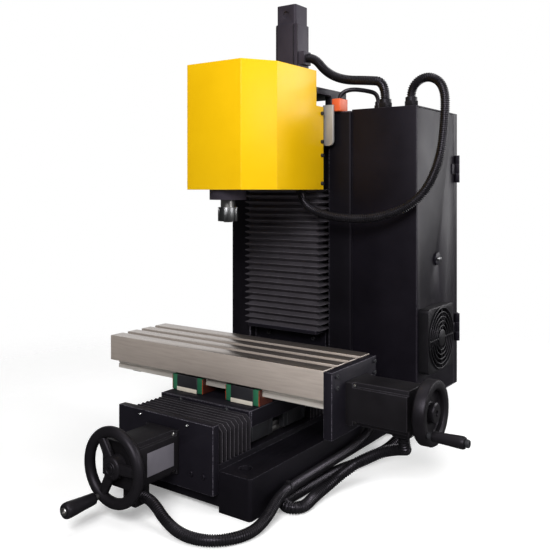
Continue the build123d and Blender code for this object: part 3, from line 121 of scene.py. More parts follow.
floorPaint = bpy.data.materials.new("paleFloor")
floorPaint.use_nodes = True
floorTree = floorPaint.node_tree
floorShader = floorTree.nodes["Principled BSDF"]
floorTint = floorTree.nodes.new("ShaderNodeMix")  # dark in the machine's reflections, as in the photo
floorTint.data_type = "RGBA"
floorTint.inputs["A"].default_value = (studio["floorTone"],) * 3 + (1,)
floorTint.inputs["B"].default_value = (studio["floorInGloss"],) * 3 + (1,)
glossyRay = floorTree.nodes.new("ShaderNodeLightPath").outputs["Is Glossy Ray"]
floorTree.links.new(glossyRay, floorTint.inputs["Factor"])
floorTree.links.new(floorTint.outputs["Result"], floorShader.inputs["Base Color"])
floorShader.inputs["Roughness"].default_value = studio["floorRough"]
floorShader.inputs["Specular IOR Level"].default_value = studio["floorSpecular"]
floorShader.inputs["Emission Color"].default_value = (1, 1, 1, 1)
glow = floorTree.nodes.new("ShaderNodeMath")
glow.operation = "MULTIPLY"
glow.inputs[1].default_value = studio["floorGlow"]
floorTree.links.new(seenDirectly(floorTree), glow.inputs[0])
floorTree.links.new(glow.outputs[0], floorShader.inputs["Emission Strength"])
floorCoords = floorTree.nodes.new("ShaderNodeTexCoord")
floorReach = floorTree.nodes.new("ShaderNodeVectorMath")
floorReach.operation = "LENGTH"
floorTree.links.new(floorCoords.outputs["Object"], floorReach.inputs[0])
floorFade = floorTree.nodes.new("ShaderNodeMapRange")  # the disc fades out into the white behind it
floorFade.interpolation_type = "SMOOTHSTEP"
floorFade.inputs["From Min"].default_value = studio["floorSolid"]
floorFade.inputs["From Max"].default_value = studio["floorRadius"] * 0.98
floorFade.inputs["To Min"].default_value = 1.0
floorFade.inputs["To Max"].default_value = 0.0
floorTree.links.new(floorReach.outputs["Value"], floorFade.inputs["Value"])
floorTree.links.new(floorFade.outputs["Result"], floorShader.inputs["Alpha"])
floorBm = bmesh.new()
bmesh.ops.create_circle(floorBm, cap_ends=True, segments=96, radius=studio["floorRadius"])
bmesh.ops.translate(floorBm, verts=floorBm.verts, vec=(0, 0, -studio["floorDrop"] * mm))
floorMesh = bpy.data.meshes.new("studioFloor")
floorBm.to_mesh(floorMesh)
floorBm.free()
studioFloor = bpy.data.objects.new("studioFloor", floorMesh)
floorMesh.materials.append(floorPaint)
scene.collection.objects.link(studioFloor)
print("view, light and floor ready")


def newGroup(name, inputs, outputs):
    group = bpy.data.node_groups.new(name, "ShaderNodeTree")
    for label, kind, value in inputs:
        socket = group.interface.new_socket(label, in_out="INPUT", socket_type=kind)
        if value is not None:
            socket.default_value = value
    for label, kind in outputs:
        group.interface.new_socket(label, in_out="OUTPUT", socket_type=kind)
    return group, group.nodes.new("NodeGroupInput"), group.nodes.new("NodeGroupOutput")


def surfaceGrain():
    # fine height, broad mottle and an edge mask for wear and painted highlights from one set of noises
    group, inside, outside = newGroup(
        "surfaceGrain",
        [
            ("Vector", "NodeSocketVector", None),
            ("Fine Scale", "NodeSocketFloat", 900.0),
            ("Broad Scale", "NodeSocketFloat", 18.0),
            ("Edge", "NodeSocketFloat", 0.0),
        ],
        [("Height", "NodeSocketFloat"), ("Mottle", "NodeSocketFloat"), ("WearAndHighlight", "NodeSocketFloat")],
    )
    link = group.links.new
    fine = group.nodes.new("ShaderNodeTexNoise")
    fine.inputs["Detail"].default_value = 3
    broad = group.nodes.new("ShaderNodeTexNoise")
    broad.inputs["Detail"].default_value = 4
    broad.inputs["Roughness"].default_value = 0.6
    link(inside.outputs["Vector"], fine.inputs["Vector"])
    link(inside.outputs["Vector"], broad.inputs["Vector"])
    link(inside.outputs["Fine Scale"], fine.inputs["Scale"])
    link(inside.outputs["Broad Scale"], broad.inputs["Scale"])
    spread = group.nodes.new("ShaderNodeMapRange")
    spread.inputs["From Min"].default_value = 0.3
    spread.inputs["From Max"].default_value = 0.7
    link(broad.outputs["Fac"], spread.inputs["Value"])
    wearAndHighlightBlend = group.nodes.new("ShaderNodeMapRange")
    wearAndHighlightBlend.inputs["From Min"].default_value = 0.42
    wearAndHighlightBlend.inputs["From Max"].default_value = 0.62
    link(fine.outputs["Fac"], wearAndHighlightBlend.inputs["Value"])
    edge = group.nodes.new("ShaderNodeMath")
    edge.operation = "MULTIPLY"
    link(wearAndHighlightBlend.outputs["Result"], edge.inputs[0])
    link(inside.outputs["Edge"], edge.inputs[1])
    link(fine.outputs["Fac"], outside.inputs["Height"])
    link(spread.outputs["Result"], outside.inputs["Mottle"])
    link(edge.outputs[0], outside.inputs["WearAndHighlight"])
    return group


grainGroup = surfaceGrain()
grainDepth = 0.4 * mm


def makeFinish(name, look):
    # paint, plastic or steel: colour drifts with the mottle, marked edges take a lighter colour that is partly
    # wear and partly a painted highlight, the grain gives bump
    finish = bpy.data.materials.new(name)
    finish.use_nodes = True
    tree = finish.node_tree
    link = tree.links.new
    shader = tree.nodes["Principled BSDF"]
    shader.inputs["Metallic"].default_value = look.get("metal", 0.0)
    shader.inputs["Specular IOR Level"].default_value = look.get("specular", 0.5)
    shader.inputs["Specular Tint"].default_value = (*look.get("gloss", (1, 1, 1)), 1)
    coords = tree.nodes.new("ShaderNodeTexCoord")
    mapping = tree.nodes.new("ShaderNodeMapping")
    mapping.inputs["Scale"].default_value = look.get("stretch", (1, 1, 1))
    link(coords.outputs["Object"], mapping.inputs["Vector"])
    grain = tree.nodes.new("ShaderNodeGroup")
    grain.node_tree = grainGroup
    grain.inputs["Fine Scale"].default_value = look.get("fine", 900.0)
    grain.inputs["Broad Scale"].default_value = look.get("broad", 18.0)
    link(mapping.outputs["Vector"], grain.inputs["Vector"])
    edgeMark = tree.nodes.new("ShaderNodeAttribute")
    edgeMark.attribute_name = "edgeMark"
    link(edgeMark.outputs["Fac"], grain.inputs["Edge"])
    tone = tree.nodes.new("ShaderNodeMix")
    tone.data_type = "RGBA"
    dark, light = look["colours"]
    tone.inputs["A"].default_value = (*dark, 1)
    tone.inputs["B"].default_value = (*light, 1)
    link(grain.outputs["Mottle"], tone.inputs["Factor"])
    # the marked faces are lightened: worn edges, and on some finishes a painted highlight
    wearAndHighlightBlend = tree.nodes.new("ShaderNodeMix")
    wearAndHighlightBlend.data_type = "RGBA"
    wearAndHighlightBlend.inputs["B"].default_value = (*look.get("wearAndHighlightColour", light), 1)
    scaleWearAndHighlight = tree.nodes.new("ShaderNodeMath")
    scaleWearAndHighlight.operation = "MULTIPLY"
    scaleWearAndHighlight.inputs[1].default_value = look.get("wearAndHighlightAmount", 0.3)
    link(grain.outputs["WearAndHighlight"], scaleWearAndHighlight.inputs[0])
    link(scaleWearAndHighlight.outputs[0], wearAndHighlightBlend.inputs["Factor"])
    link(tone.outputs["Result"], wearAndHighlightBlend.inputs["A"])
    link(wearAndHighlightBlend.outputs["Result"], shader.inputs["Base Color"])
    rough = tree.nodes.new("ShaderNodeMapRange")
    low, high = look["rough"]
    rough.inputs["To Min"].default_value = low
    rough.inputs["To Max"].default_value = high
    link(grain.outputs["Mottle"], rough.inputs["Value"])
    link(rough.outputs["Result"], shader.inputs["Roughness"])
    bump = tree.nodes.new("ShaderNodeBump")
    bump.inputs["Strength"].default_value = look.get("bump", 0.1)
    bump.inputs["Distance"].default_value = grainDepth
    link(grain.outputs["Height"], bump.inputs["Height"])
    link(bump.outputs["Normal"], shader.inputs["Normal"])
    return finish


coolSheen = (0.93, 0.85, 1.0)  # dark paint and plastic mirror a faint violet
looks = {
    "castPaint": {
        "colours": ((0.0044, 0.0039, 0.0054), (0.0068, 0.0061, 0.0084)),
        "rough": (0.42, 0.54), "specular": 0.1, "gloss": coolSheen, "fine": 520, "bump": 0.16,
        # the light edge colour is partly wear, partly a painted highlight along the edges
        "wearAndHighlightAmount": 0.8, "wearAndHighlightColour": (0.12, 0.11, 0.135),
    },
    "platePaint": {
        "colours": ((0.0068, 0.006, 0.0088), (0.01, 0.009, 0.0128)),
        "rough": (0.4, 0.5), "specular": 0.15, "gloss": coolSheen, "fine": 800, "bump": 0.1,
        # the light edge colour is partly wear, partly a painted highlight along the edges
        "wearAndHighlightAmount": 0.8, "wearAndHighlightColour": (0.15, 0.14, 0.17),
    },
    "cabinetPaint": {
        "colours": ((0.0045, 0.0038, 0.0059), (0.007, 0.0059, 0.009)),
        "rough": (0.42, 0.52), "specular": 0.13, "gloss": coolSheen, "fine": 1500, "bump": 0.12,
        "wearAndHighlightAmount": 0.5, "wearAndHighlightColour": (0.08, 0.072, 0.092),
    },
    "coverYellow": {
        "colours": ((0.87, 0.5, 0.002), (0.94, 0.56, 0.003)),
        "rough": (0.34, 0.44), "specular": 0.3, "fine": 420, "broad": 9, "bump": 0.05,
        "wearAndHighlightAmount": 0.25, "wearAndHighlightColour": (1.0, 0.7, 0.08), "gloss": (1.0, 0.86, 0.6),
    },
    "tableSteel": {
        "colours": ((0.38, 0.325, 0.288), (0.46, 0.398, 0.356)),
        "rough": (0.4, 0.52), "metal": 0.25, "stretch": (1, 14, 14), "fine": 260, "broad": 22,
        "bump": 0.08, "wearAndHighlightAmount": 0.6, "wearAndHighlightColour": (0.66, 0.6, 0.54),
    },
    "tableTop": {
        "colours": ((0.4, 0.345, 0.31), (0.5, 0.435, 0.395)),
        "rough": (0.25, 0.35), "metal": 0.92, "stretch": (1, 14, 14), "fine": 260, "broad": 22,
        "bump": 0.06, "wearAndHighlightAmount": 0.6, "wearAndHighlightColour": (0.66, 0.6, 0.54),
    },
    "groundSteel": {
        "colours": ((0.34, 0.33, 0.325), (0.46, 0.45, 0.44)),
        "rough": (0.26, 0.38), "metal": 1.0, "fine": 700, "bump": 0.05, "wearAndHighlightAmount": 0.4,
        "wearAndHighlightColour": (0.7, 0.69, 0.67),
    },
    "railSteel": {
        "colours": ((0.55, 0.51, 0.465), (0.66, 0.615, 0.565)),
        "rough": (0.36, 0.46), "metal": 0.15, "stretch": (1, 12, 12), "fine": 500, "bump": 0.05,
        "wearAndHighlightAmount": 0.5, "wearAndHighlightColour": (0.8, 0.76, 0.7),
    },
    "toolSteel": {
        "colours": ((0.13, 0.13, 0.135), (0.2, 0.2, 0.205)),
        "rough": (0.28, 0.38), "metal": 1.0, "fine": 1000, "bump": 0.03, "wearAndHighlightAmount": 0.5,
        "wearAndHighlightColour": (0.5, 0.5, 0.5),
    },
    "darkSteel": {
        "colours": ((0.024, 0.024, 0.028), (0.036, 0.036, 0.041)),
        "rough": (0.38, 0.48), "metal": 0.3, "specular": 0.35, "fine": 900, "bump": 0.05,
        "wearAndHighlightAmount": 0.6, "wearAndHighlightColour": (0.13, 0.13, 0.14),
    },
    "brightSteel": {
        "colours": ((0.5, 0.5, 0.5), (0.62, 0.62, 0.62)),
        "rough": (0.22, 0.32), "metal": 1.0, "fine": 1200, "bump": 0.02, "wearAndHighlightAmount": 0.3,
        "wearAndHighlightColour": (0.8, 0.8, 0.8),
    },
    "motorCase": {
        "colours": ((0.0062, 0.0056, 0.0064), (0.0096, 0.0088, 0.01)),
        "rough": (0.42, 0.54), "specular": 0.15, "gloss": coolSheen, "fine": 1400, "bump": 0.12,
        "wearAndHighlightAmount": 0.6, "wearAndHighlightColour": (0.06, 0.056, 0.066),
    },
    "greyMotor": {
        "colours": ((0.03, 0.0255, 0.034), (0.04, 0.0345, 0.045)),
        "rough": (0.42, 0.52), "specular": 0.18, "gloss": coolSheen, "fine": 1300, "bump": 0.12,
        "wearAndHighlightAmount": 0.5, "wearAndHighlightColour": (0.1, 0.092, 0.11),
    },
    # the lighter edge colour on the bellows' fold ridges is a painted highlight
    "bellowsSheet": {
        "colours": ((0.036, 0.0325, 0.0373), (0.049, 0.0444, 0.0514)),
        "rough": (0.5, 0.62), "specular": 0.22, "gloss": coolSheen, "fine": 1600, "broad": 30,
        "bump": 0.2, "wearAndHighlightAmount": 0.9, "wearAndHighlightColour": (0.14, 0.132, 0.15),
    },
    # the bed's folds are deeper, with dark valleys and a painted highlight on the ridges
    "bedBellows": {
        "colours": ((0.011, 0.01, 0.0116), (0.017, 0.0155, 0.018)),
        "rough": (0.5, 0.62), "specular": 0.2, "gloss": coolSheen, "fine": 1600, "broad": 30,
        "bump": 0.2, "wearAndHighlightAmount": 1.0, "wearAndHighlightColour": (0.16, 0.148, 0.168),
    },
    "blackPlastic": {
        "colours": ((0.0055, 0.0054, 0.0062), (0.009, 0.0086, 0.0098)),
        "rough": (0.38, 0.5), "specular": 0.18, "gloss": coolSheen, "fine": 1500, "bump": 0.12,
        "wearAndHighlightAmount": 0.4, "wearAndHighlightColour": (0.035, 0.034, 0.04),
    },
    "conduitBlack": {
        "colours": ((0.0058, 0.0055, 0.0064), (0.0105, 0.01, 0.0115)),
        "rough": (0.3, 0.42), "specular": 0.35, "gloss": coolSheen, "fine": 1100, "broad": 40,
        "bump": 0.06, "wearAndHighlightAmount": 0.0,
    },
    "wheelBlack": {
        "colours": ((0.0058, 0.0052, 0.0062), (0.0092, 0.0084, 0.0098)),
        "rough": (0.38, 0.5), "specular": 0.22, "gloss": coolSheen, "fine": 1100, "bump": 0.07,
        "wearAndHighlightAmount": 0.3, "wearAndHighlightColour": (0.03, 0.028, 0.032),
    },
    "capGreen": {
        "colours": ((0.014, 0.115, 0.056), (0.026, 0.165, 0.082)),
        "rough": (0.42, 0.52), "fine": 1200, "bump": 0.1,
    },
    "sealOrange": {
        # the dark red-brown base is a painted shade on the seals' end faces; their sides take the seal's own
        # orange
        "colours": ((0.055, 0.012, 0.007), (0.085, 0.017, 0.009)),
        "rough": (0.45, 0.55), "fine": 1300, "bump": 0.1, "wearAndHighlightAmount": 1.0,
        "wearAndHighlightColour": (0.62, 0.075, 0.018),
    },
    "stripCream": {
        "colours": ((0.62, 0.56, 0.47), (0.74, 0.68, 0.59)),
        "rough": (0.4, 0.5), "fine": 1300, "bump": 0.08,
    },
    "sensorOrange": {
        "colours": ((0.6, 0.085, 0.02), (0.74, 0.12, 0.035)),
        "rough": (0.38, 0.5), "fine": 1300, "bump": 0.1, "wearAndHighlightAmount": 0.2,
        "wearAndHighlightColour": (0.85, 0.3, 0.15),
    },
    "strikerGrey": {
        "colours": ((0.3, 0.29, 0.29), (0.4, 0.39, 0.385)),
        "rough": (0.38, 0.48), "metal": 0.3, "bump": 0.06,
    },
    "labelPale": {
        "colours": ((0.12, 0.112, 0.132), (0.158, 0.148, 0.172)),
        "rough": (0.4, 0.5), "metal": 0.1, "bump": 0.03,
    },
    "moduleMetal": {
        "colours": ((0.4, 0.4, 0.41), (0.52, 0.52, 0.53)),
        "rough": (0.3, 0.42), "metal": 0.9, "bump": 0.06,
    },
}
finishes = {name: makeFinish(name, look) for name, look in looks.items()}
print("finishes", len(finishes))


def keepPiece(name, bm, finish, body=None, replaced=(), smooth=32):
    mesh = bpy.data.meshes.new(name)
    bm.normal_update()
    bm.to_mesh(mesh)
    bm.free()
    piece = bpy.data.objects.new(name, mesh)
    scene.collection.objects.link(piece)
    mesh.materials.append(finishes[finish])
    for face in mesh.polygons:
        face.use_smooth = True
    mesh.set_sharp_from_angle(angle=math.radians(smooth))
    if body:
        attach(piece, body)
    if replaced:
        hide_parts(*replaced)
    return piece


# angles in degrees, lengths in mm
softening = {"weld": 0.005, "flat": 0.6, "sharp": 28, "segments": 2, "smooth": 40}
# width of the broken edge in mm, and the finish
softEdges = {
    "base_casting": (2.2, "castPaint"),
    "column": (2.0, "castPaint"),
    "y_motor_plate": (1.2, "platePaint"),
    "y_motor": (1.0, "motorCase"),
    "guide_rails": (0.4, "groundSteel"),
    "screw_bearings": (0.6, "darkSteel"),
    "bellows_bracket": (0.5, "platePaint"),
    "z_motor_bracket": (1.0, "platePaint"),
    "z_motor": (0.8, "greyMotor"),
    "cabinet_body": (0.7, "cabinetPaint"),
    "cabinet_hinges": (0.3, "platePaint"),
    "control_modules": (0.5, "moduleMetal"),
    "cable_glands": (0.6, "blackPlastic"),
    "limit_sensor": (1.0, "sensorOrange"),
    "saddle": (0.8, "platePaint"),
    "saddle_front_plate": (0.5, "platePaint"),
    "guide_blocks": (0.6, "darkSteel"),
    "guide_caps": (0.5, "darkSteel"),
    "ball_nuts": (0.6, "groundSteel"),
    "table": (0.7, "tableSteel"),
    "x_rails": (0.4, "railSteel"),
    "x_end_plate": (1.2, "platePaint"),
    "x_motor": (1.0, "motorCase"),
    "x_bearings": (0.6, "darkSteel"),
    "head_plate": (1.0, "platePaint"),
    "z_blocks": (0.6, "darkSteel"),
    "z_nut": (0.6, "groundSteel"),
    "spindle_housing": (1.2, "greyMotor"),
    "spindle_motor": (1.0, "motorCase"),
    "head_cover": (0.8, "coverYellow"),
    "striker": (0.4, "strikerGrey"),
    "head_gland": (0.5, "blackPlastic"),
    "collet_nut": (0.7, "toolSteel"),
    "cabinet_door": (0.5, "cabinetPaint"),
    "door_hinges": (0.3, "platePaint"),
    "fan_frame": (0.8, "blackPlastic"),
    "door_lock": (0.5, "platePaint"),
    "fan_rotor": (0.3, "blackPlastic"),
}
plainNodes = {
    "spindle_shaft": "groundSteel",
    "collet": "groundSteel",
    "y_screw": "groundSteel",
    "x_screw": "groundSteel",
    "z_screw": "groundSteel",
    "z_coupling": "moduleMetal",
}


def softCopy(node, width, finish):
    bm = bmesh.new()
    bm.from_mesh(nodes[node].data)
    bmesh.ops.remove_doubles(bm, verts=bm.verts, dist=softening["weld"] * mm)
    flat = math.radians(softening["flat"])
    bmesh.ops.dissolve_limit(bm, angle_limit=flat, verts=bm.verts, edges=bm.edges)
    edgeMark = bm.faces.layers.float.new("edgeMark")
    least = math.radians(softening["sharp"])
    sharp = [edge for edge in bm.edges if edge.is_manifold and edge.calc_face_angle(0) > least]
    made = bmesh.ops.bevel(
        bm,
        geom=sharp,
        offset=width * mm,
        offset_type="OFFSET",
        segments=softening["segments"],
        profile=0.5,
        affect="EDGES",
        clamp_overlap=True,
        material=-1,
    )
    # the bevel faces take the lighter edge colour, partly wear and partly a painted highlight
    for face in made["faces"]:
        face[edgeMark] = 1.0
    return keepPiece(node + "Soft", bm, finish, bodyOf[node], (node,), smooth=softening["smooth"])


for node, (width, finish) in softEdges.items():
    softCopy(node, width, finish)
secondFinish = {"greenAbove": 110, "topFacing": 0.9}
caps = bpy.data.objects["guide_capsSoft"].data
caps.materials.append(finishes["capGreen"])  # the table's own blocks show their green caps
for face in caps.polygons:
    face.material_index = int(face.center.z > secondFinish["greenAbove"] * mm)
tableMesh = bpy.data.objects["tableSoft"].data
tableMesh.materials.append(finishes["tableTop"])  # the ground top mirrors more than the sides
for face in tableMesh.polygons:
    face.material_index = int(face.normal.z > secondFinish["topFacing"])
for node, finish in plainNodes.items():
    nodes[node].data.materials.clear()
    nodes[node].data.materials.append(finishes[finish])
print("soft copies", len(softEdges))


def routeLine(name, points):
    curve = bpy.data.curves.new(name, "CURVE")
    curve.dimensions = "3D"
    curve.resolution_u = 40
    spline = curve.splines.new("NURBS")
    spline.points.add(len(points) - 1)
    for control, point in zip(spline.points, points):
        control.co = (*toMetres(point), 1)
    spline.order_u = 3
    spline.use_endpoint_u = True
    holder = bpy.data.objects.new(name, curve)
    lineMesh = bpy.data.meshes.new_from_object(holder)
    line = [vert.co.copy() for vert in lineMesh.vertices]
    bpy.data.meshes.remove(lineMesh)
    bpy.data.objects.remove(holder)
    bpy.data.curves.remove(curve)
    return line


def walkLine(line, step):
    # places at even steps along the line, each with its direction
    places = [(line[0], (line[1] - line[0]).normalized())]
    gone = 0.0
    target = step
    for first, second in zip(line, line[1:]):
        span = (second - first).length
        if span < 1e-9:
            continue
        direction = (second - first) / span
        while target <= gone + span:
            places.append((first + direction * (target - gone), direction))
            target += step
        gone += span
    places.append((line[-1], (line[-1] - line[-2]).normalized()))
    return places, gone


def ribbedTube(line, radius, step, depth, segments):
    # two rings in each groove, then two on each crest
    places, length = walkLine(line, step)
    bm = bmesh.new()
    side = places[0][1].orthogonal().normalized()
    before = None
    for index, (place, direction) in enumerate(places):
        side = (side - direction * side.dot(direction)).normalized()
        turn = Matrix((side, direction.cross(side), direction)).transposed().to_4x4()
        ends = index in (0, len(places) - 1)
        ringRadius = radius - (depth if index % 4 < 2 or ends else 0)
        ring = bmesh.ops.create_circle(
            bm, segments=segments, radius=ringRadius, cap_ends=ends, matrix=Matrix.Translation(place) @ turn
        )["verts"]
        edges = list({edge for vert in ring for edge in vert.link_edges})
        if before:
            bmesh.ops.bridge_loops(bm, edges=before + edges)
        before = edges
    bmesh.ops.recalc_face_normals(bm, faces=bm.faces)
    return bm, length


# sizes, lengths and routes in mm
conduits = {
    "headConduit": {
        "node": "head_conduit", "size": 14.0, "rib": 0.75, "depth": 1.1, "length": 467.5,
        "route": [
            (58, 6, 409.7), (60, 6.4, 396), (82, 10, 379), (132, 18, 370), (190, 28, 373), (244, 42, 400),
            (268, 56, 455), (272, 66, 520), (270, 70, 570), (243, 72.5, 588), (215, 73, 574), (215, 73, 556),
        ],
        "blend": ("base", "head", (215, 73, 500), (70, 8, 400)),
    },
    "zMotorConduit": {
        "node": "z_motor_conduit", "size": 15.0, "rib": 0.75, "depth": 1.1, "length": 179.5,
        "route": [
            (30, 67.5, 634), (44, 67.5, 634), (66, 69, 607), (98, 70, 592), (140, 71, 588),
            (171, 73, 584), (171, 73, 556),
        ],
    },
    "sensorCable": {
        "node": "sensor_cable", "size": 7.0, "rib": 3.0, "depth": 0.0, "length": 82.7,
        "route": [
            (97.5, 59, 560), (97.5, 59, 568), (112, 66, 576), (132, 82, 574), (147, 96, 569), (147, 96, 556),
        ],
    },
    "yMotorConduit": {
        "node": "y_motor_conduit", "size": 14.0, "rib": 0.75, "depth": 1.1, "length": 546.6,
        "route": [
            (22, -302, 30.5), (38, -302, 30.5), (70, -309, 12), (106, -315, 7.3), (142, -304, 7.3),
            (164, -268, 7.3), (162, -230, 11.5), (154, -192, 24.5), (151, -150, 25.5), (149.5, -100, 25),
            (150, -30, 26), (150, 36, 30), (150, 72, 44), (150, 80, 59), (150, 80, 78),
        ],
    },
    "xConduitLower": {
        "node": "x_conduit_lower", "size": 15.5, "rib": 0.8, "depth": 1.1, "length": 458.8,
        "route": [
            (203, -78, 42), (189, -90, 30), (177, -114, 16), (173, -140, 9.8), (176.3, -162, 8.3),
            (172.5, -176, 8.1), (160.7, -181.5, 8.1), (149.2, -176, 8), (145, -162, 8), (146.3, -132, 8),
            (146.9, -85, 8), (150, -40, 8.1), (166, 24, 8.1), (186, 72, 20), (196, 96, 46), (196, 96, 78),
        ],
        "blend": ("base", "saddle", (174.4, -74, 42), (203, -78, 42)),
    },
    "xConduitUpper": {
        "node": "x_conduit_upper", "size": 15.5, "rib": 0.8, "depth": 1.1, "length": 107.1,
        "route": [
            (203, -78, 42), (229, -64, 58), (254, -60, 66), (270, -63, 70), (275, -78, 76), (274, -79.5, 93.7),
        ],
        "blend": ("saddle", "table", (203, -78, 42), (270, -79.5, 75)),
    },
}
tubeSides = 14
for name, cord in conduits.items():
    line = routeLine(name + "Line", cord["route"])
    tube, length = ribbedTube(line, cord["size"] / 2 * mm, cord["rib"] * mm, cord["depth"] * mm, tubeSides)
    piece = keepPiece(name, tube, "conduitBlack", None, (cord["node"],), smooth=40)
    if "blend" in cord:
        fromBody, toBody, start, end = cord["blend"]
        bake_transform(piece)
    else:
        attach(piece, bodyOf[cord["node"]])
    print(name, "line", round(length / mm, 1))


def foldedCover(size, fold, frontFold, sheet, ridge):
    # a U of sheet, extruded fold by fold along Z; its open side is at y 0
    bm = bmesh.new()
    edgeMark = bm.faces.layers.float.new("edgeMark")
    half, depth, corner = size["width"] * mm / 2, size["depth"] * mm, size["corner"] * mm
    outline = [(-half, 0), (-half, corner - depth), (corner - half, -depth)]
    outline += [(-x, y) for x, y in reversed(outline)]
    row = [bm.verts.new((x, y, 0)) for x, y in outline]
    bmesh.ops.remove_doubles(bm, verts=row, dist=0.000002)
    row = sorted(bm.verts, key=lambda vert: (vert.co.x, vert.co.y if vert.co.x > 0 else -vert.co.y))
    edges = [bm.edges.new(pair) for pair in zip(row, row[1:])]
    pitch = size["length"] * mm / size["folds"]
    steps = []
    for index in range(size["folds"]):
        steps.append((index * pitch + ridge / 2, 0, True))
        steps.append((index * pitch + pitch / 2, 1, False))
        steps.append((index * pitch + pitch - ridge / 2, -1, False))
    steps.append((size["length"] * mm, 0, True))
    for height, way, onRidge in steps:
        made = bmesh.ops.extrude_edge_only(bm, edges=edges)["geom"]
        verts = [part for part in made if isinstance(part, bmesh.types.BMVert)]
        fresh = set(verts)
        ends = [part for part in made if isinstance(part, bmesh.types.BMEdge)]
        edges = [edge for edge in ends if fresh.issuperset(edge.verts)]
        for vert in verts:
            vert.co.x -= way * fold * math.copysign(1, vert.co.x)
            if vert.co.y < -frontFold / 2:
                vert.co.y += way * frontFold
            vert.co.z = height
        # the narrow ridge bands are marked so that the finish paints them lighter: a painted highlight on each
        # fold
        for part in made:
            if isinstance(part, bmesh.types.BMFace):
                part[edgeMark] = 1.0 if onRidge else 0.0
    bmesh.ops.recalc_face_normals(bm, faces=bm.faces)
    bmesh.ops.solidify(bm, geom=bm.faces[:], thickness=sheet)
    return bm


bellowsSizes = {
    "fold": 10.0,
    "frontFold": 5.5,
    "sheet": 0.8,
    "ridge": 0.9,
    "zBellows": {
        "width": 150.0, "depth": 32.0, "corner": 0.0, "length": 226.0, "folds": 22,
        "start": (0, 66, 189), "turn": "up", "node": "z_bellows", "finish": "bellowsSheet",
        "bodies": ("base", "head"), "ends": ((0, 50, 190), (0, 50, 414)),
    },
    "yBellowsFront": {
        "width": 170.0, "depth": 46.5, "corner": 7.0, "length": 69.0, "folds": 8,
        "start": (0, -230, 61), "turn": "back", "node": "y_bellows", "finish": "bedBellows",
        "bodies": ("base", "saddle"), "ends": ((0, -229, 90), (0, -162, 90)),
    },
    "yBellowsRear": {
        "width": 170.0, "depth": 46.5, "corner": 7.0, "length": 62.0, "folds": 7,
        "start": (0, -8, 61), "turn": "back", "node": "y_bellows", "finish": "bedBellows",
        "bodies": ("saddle", "base"), "ends": ((0, -7, 90), (0, 53, 90)),
    },
}
turns = {"up": Matrix.Identity(4), "back": Matrix(((1, 0, 0, 0), (0, 0, 1, 0), (0, -1, 0, 0), (0, 0, 0, 1)))}
for name in ("zBellows", "yBellowsFront", "yBellowsRear"):
    size = bellowsSizes[name]
    bm = foldedCover(size, *(bellowsSizes[key] * mm for key in ("fold", "frontFold", "sheet", "ridge")))
    place = Matrix.Translation(toMetres(size["start"])) @ turns[size["turn"]]
    bmesh.ops.transform(bm, verts=bm.verts, matrix=place)
    piece = keepPiece(name, bm, size["finish"], None, (size["node"],), smooth=30)
    start, end = size["ends"]
    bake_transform(piece)
print("bellows folded")


def turnedShape(profile, centre, outward, steps):
    # profile of (radius, height) in mm, spun about the outward axis
    outward = Vector(outward).normalized()
    across = outward.orthogonal().normalized()
    bm = bmesh.new()
    middle = toMetres(centre)
    verts = [bm.verts.new(middle + across * radius * mm + outward * height * mm) for radius, height in profile]
    edges = [bm.edges.new(pair) for pair in zip(verts, verts[1:])]
    bmesh.ops.spin(
        bm,
        geom=verts + edges,
        cent=middle,
        axis=outward,
        angle=math.tau,
        steps=steps,
        use_merge=True,
        use_duplicate=False,
    )
    bmesh.ops.remove_doubles(bm, verts=bm.verts, dist=0.000002)
    bmesh.ops.recalc_face_normals(bm, faces=bm.faces)
    return bm


def joinShapes(*shapes):
    joined = bmesh.new()
    for shape in shapes:
        holder = bpy.data.meshes.new("joining")
        shape.to_mesh(holder)
        shape.free()
        joined.from_mesh(holder)
        bpy.data.meshes.remove(holder)
    return joined


def ringProfile(radius, height, thickness, steps):
    # closed round section
    angles = [math.tau * k / steps for k in range(steps + 1)]
    half = thickness / 2
    return [(radius + half * math.cos(angle), height + half * math.sin(angle)) for angle in angles]


def roundEdges(bm, soft, segments):
    bmesh.ops.bevel(
        bm,
        geom=bm.edges[:],
        offset=soft * mm,
        segments=segments,
        profile=0.5,
        affect="EDGES",
        clamp_overlap=True,
        material=-1,
    )


def bar(start, end, width, thickness, normal, soft, taper=1.0):
    # a straight bar with rounded edges; its far end may be narrower
    start, end = Vector(start), Vector(end)
    along = (end - start).normalized()
    up = Vector(normal).normalized()
    turn = Matrix((along.cross(up), up, along)).transposed().to_4x4()
    bm = bmesh.new()
    bmesh.ops.create_cube(bm, size=1)
    bmesh.ops.scale(bm, verts=bm.verts, vec=(width * mm, thickness * mm, (end - start).length * mm))
    bmesh.ops.scale(bm, verts=[vert for vert in bm.verts if vert.co.z > 0], vec=(taper, 1, 1))
    roundEdges(bm, soft, 3)
    bmesh.ops.transform(bm, verts=bm.verts, matrix=Matrix.Translation(toMetres((start + end) / 2)) @ turn)
    return bm


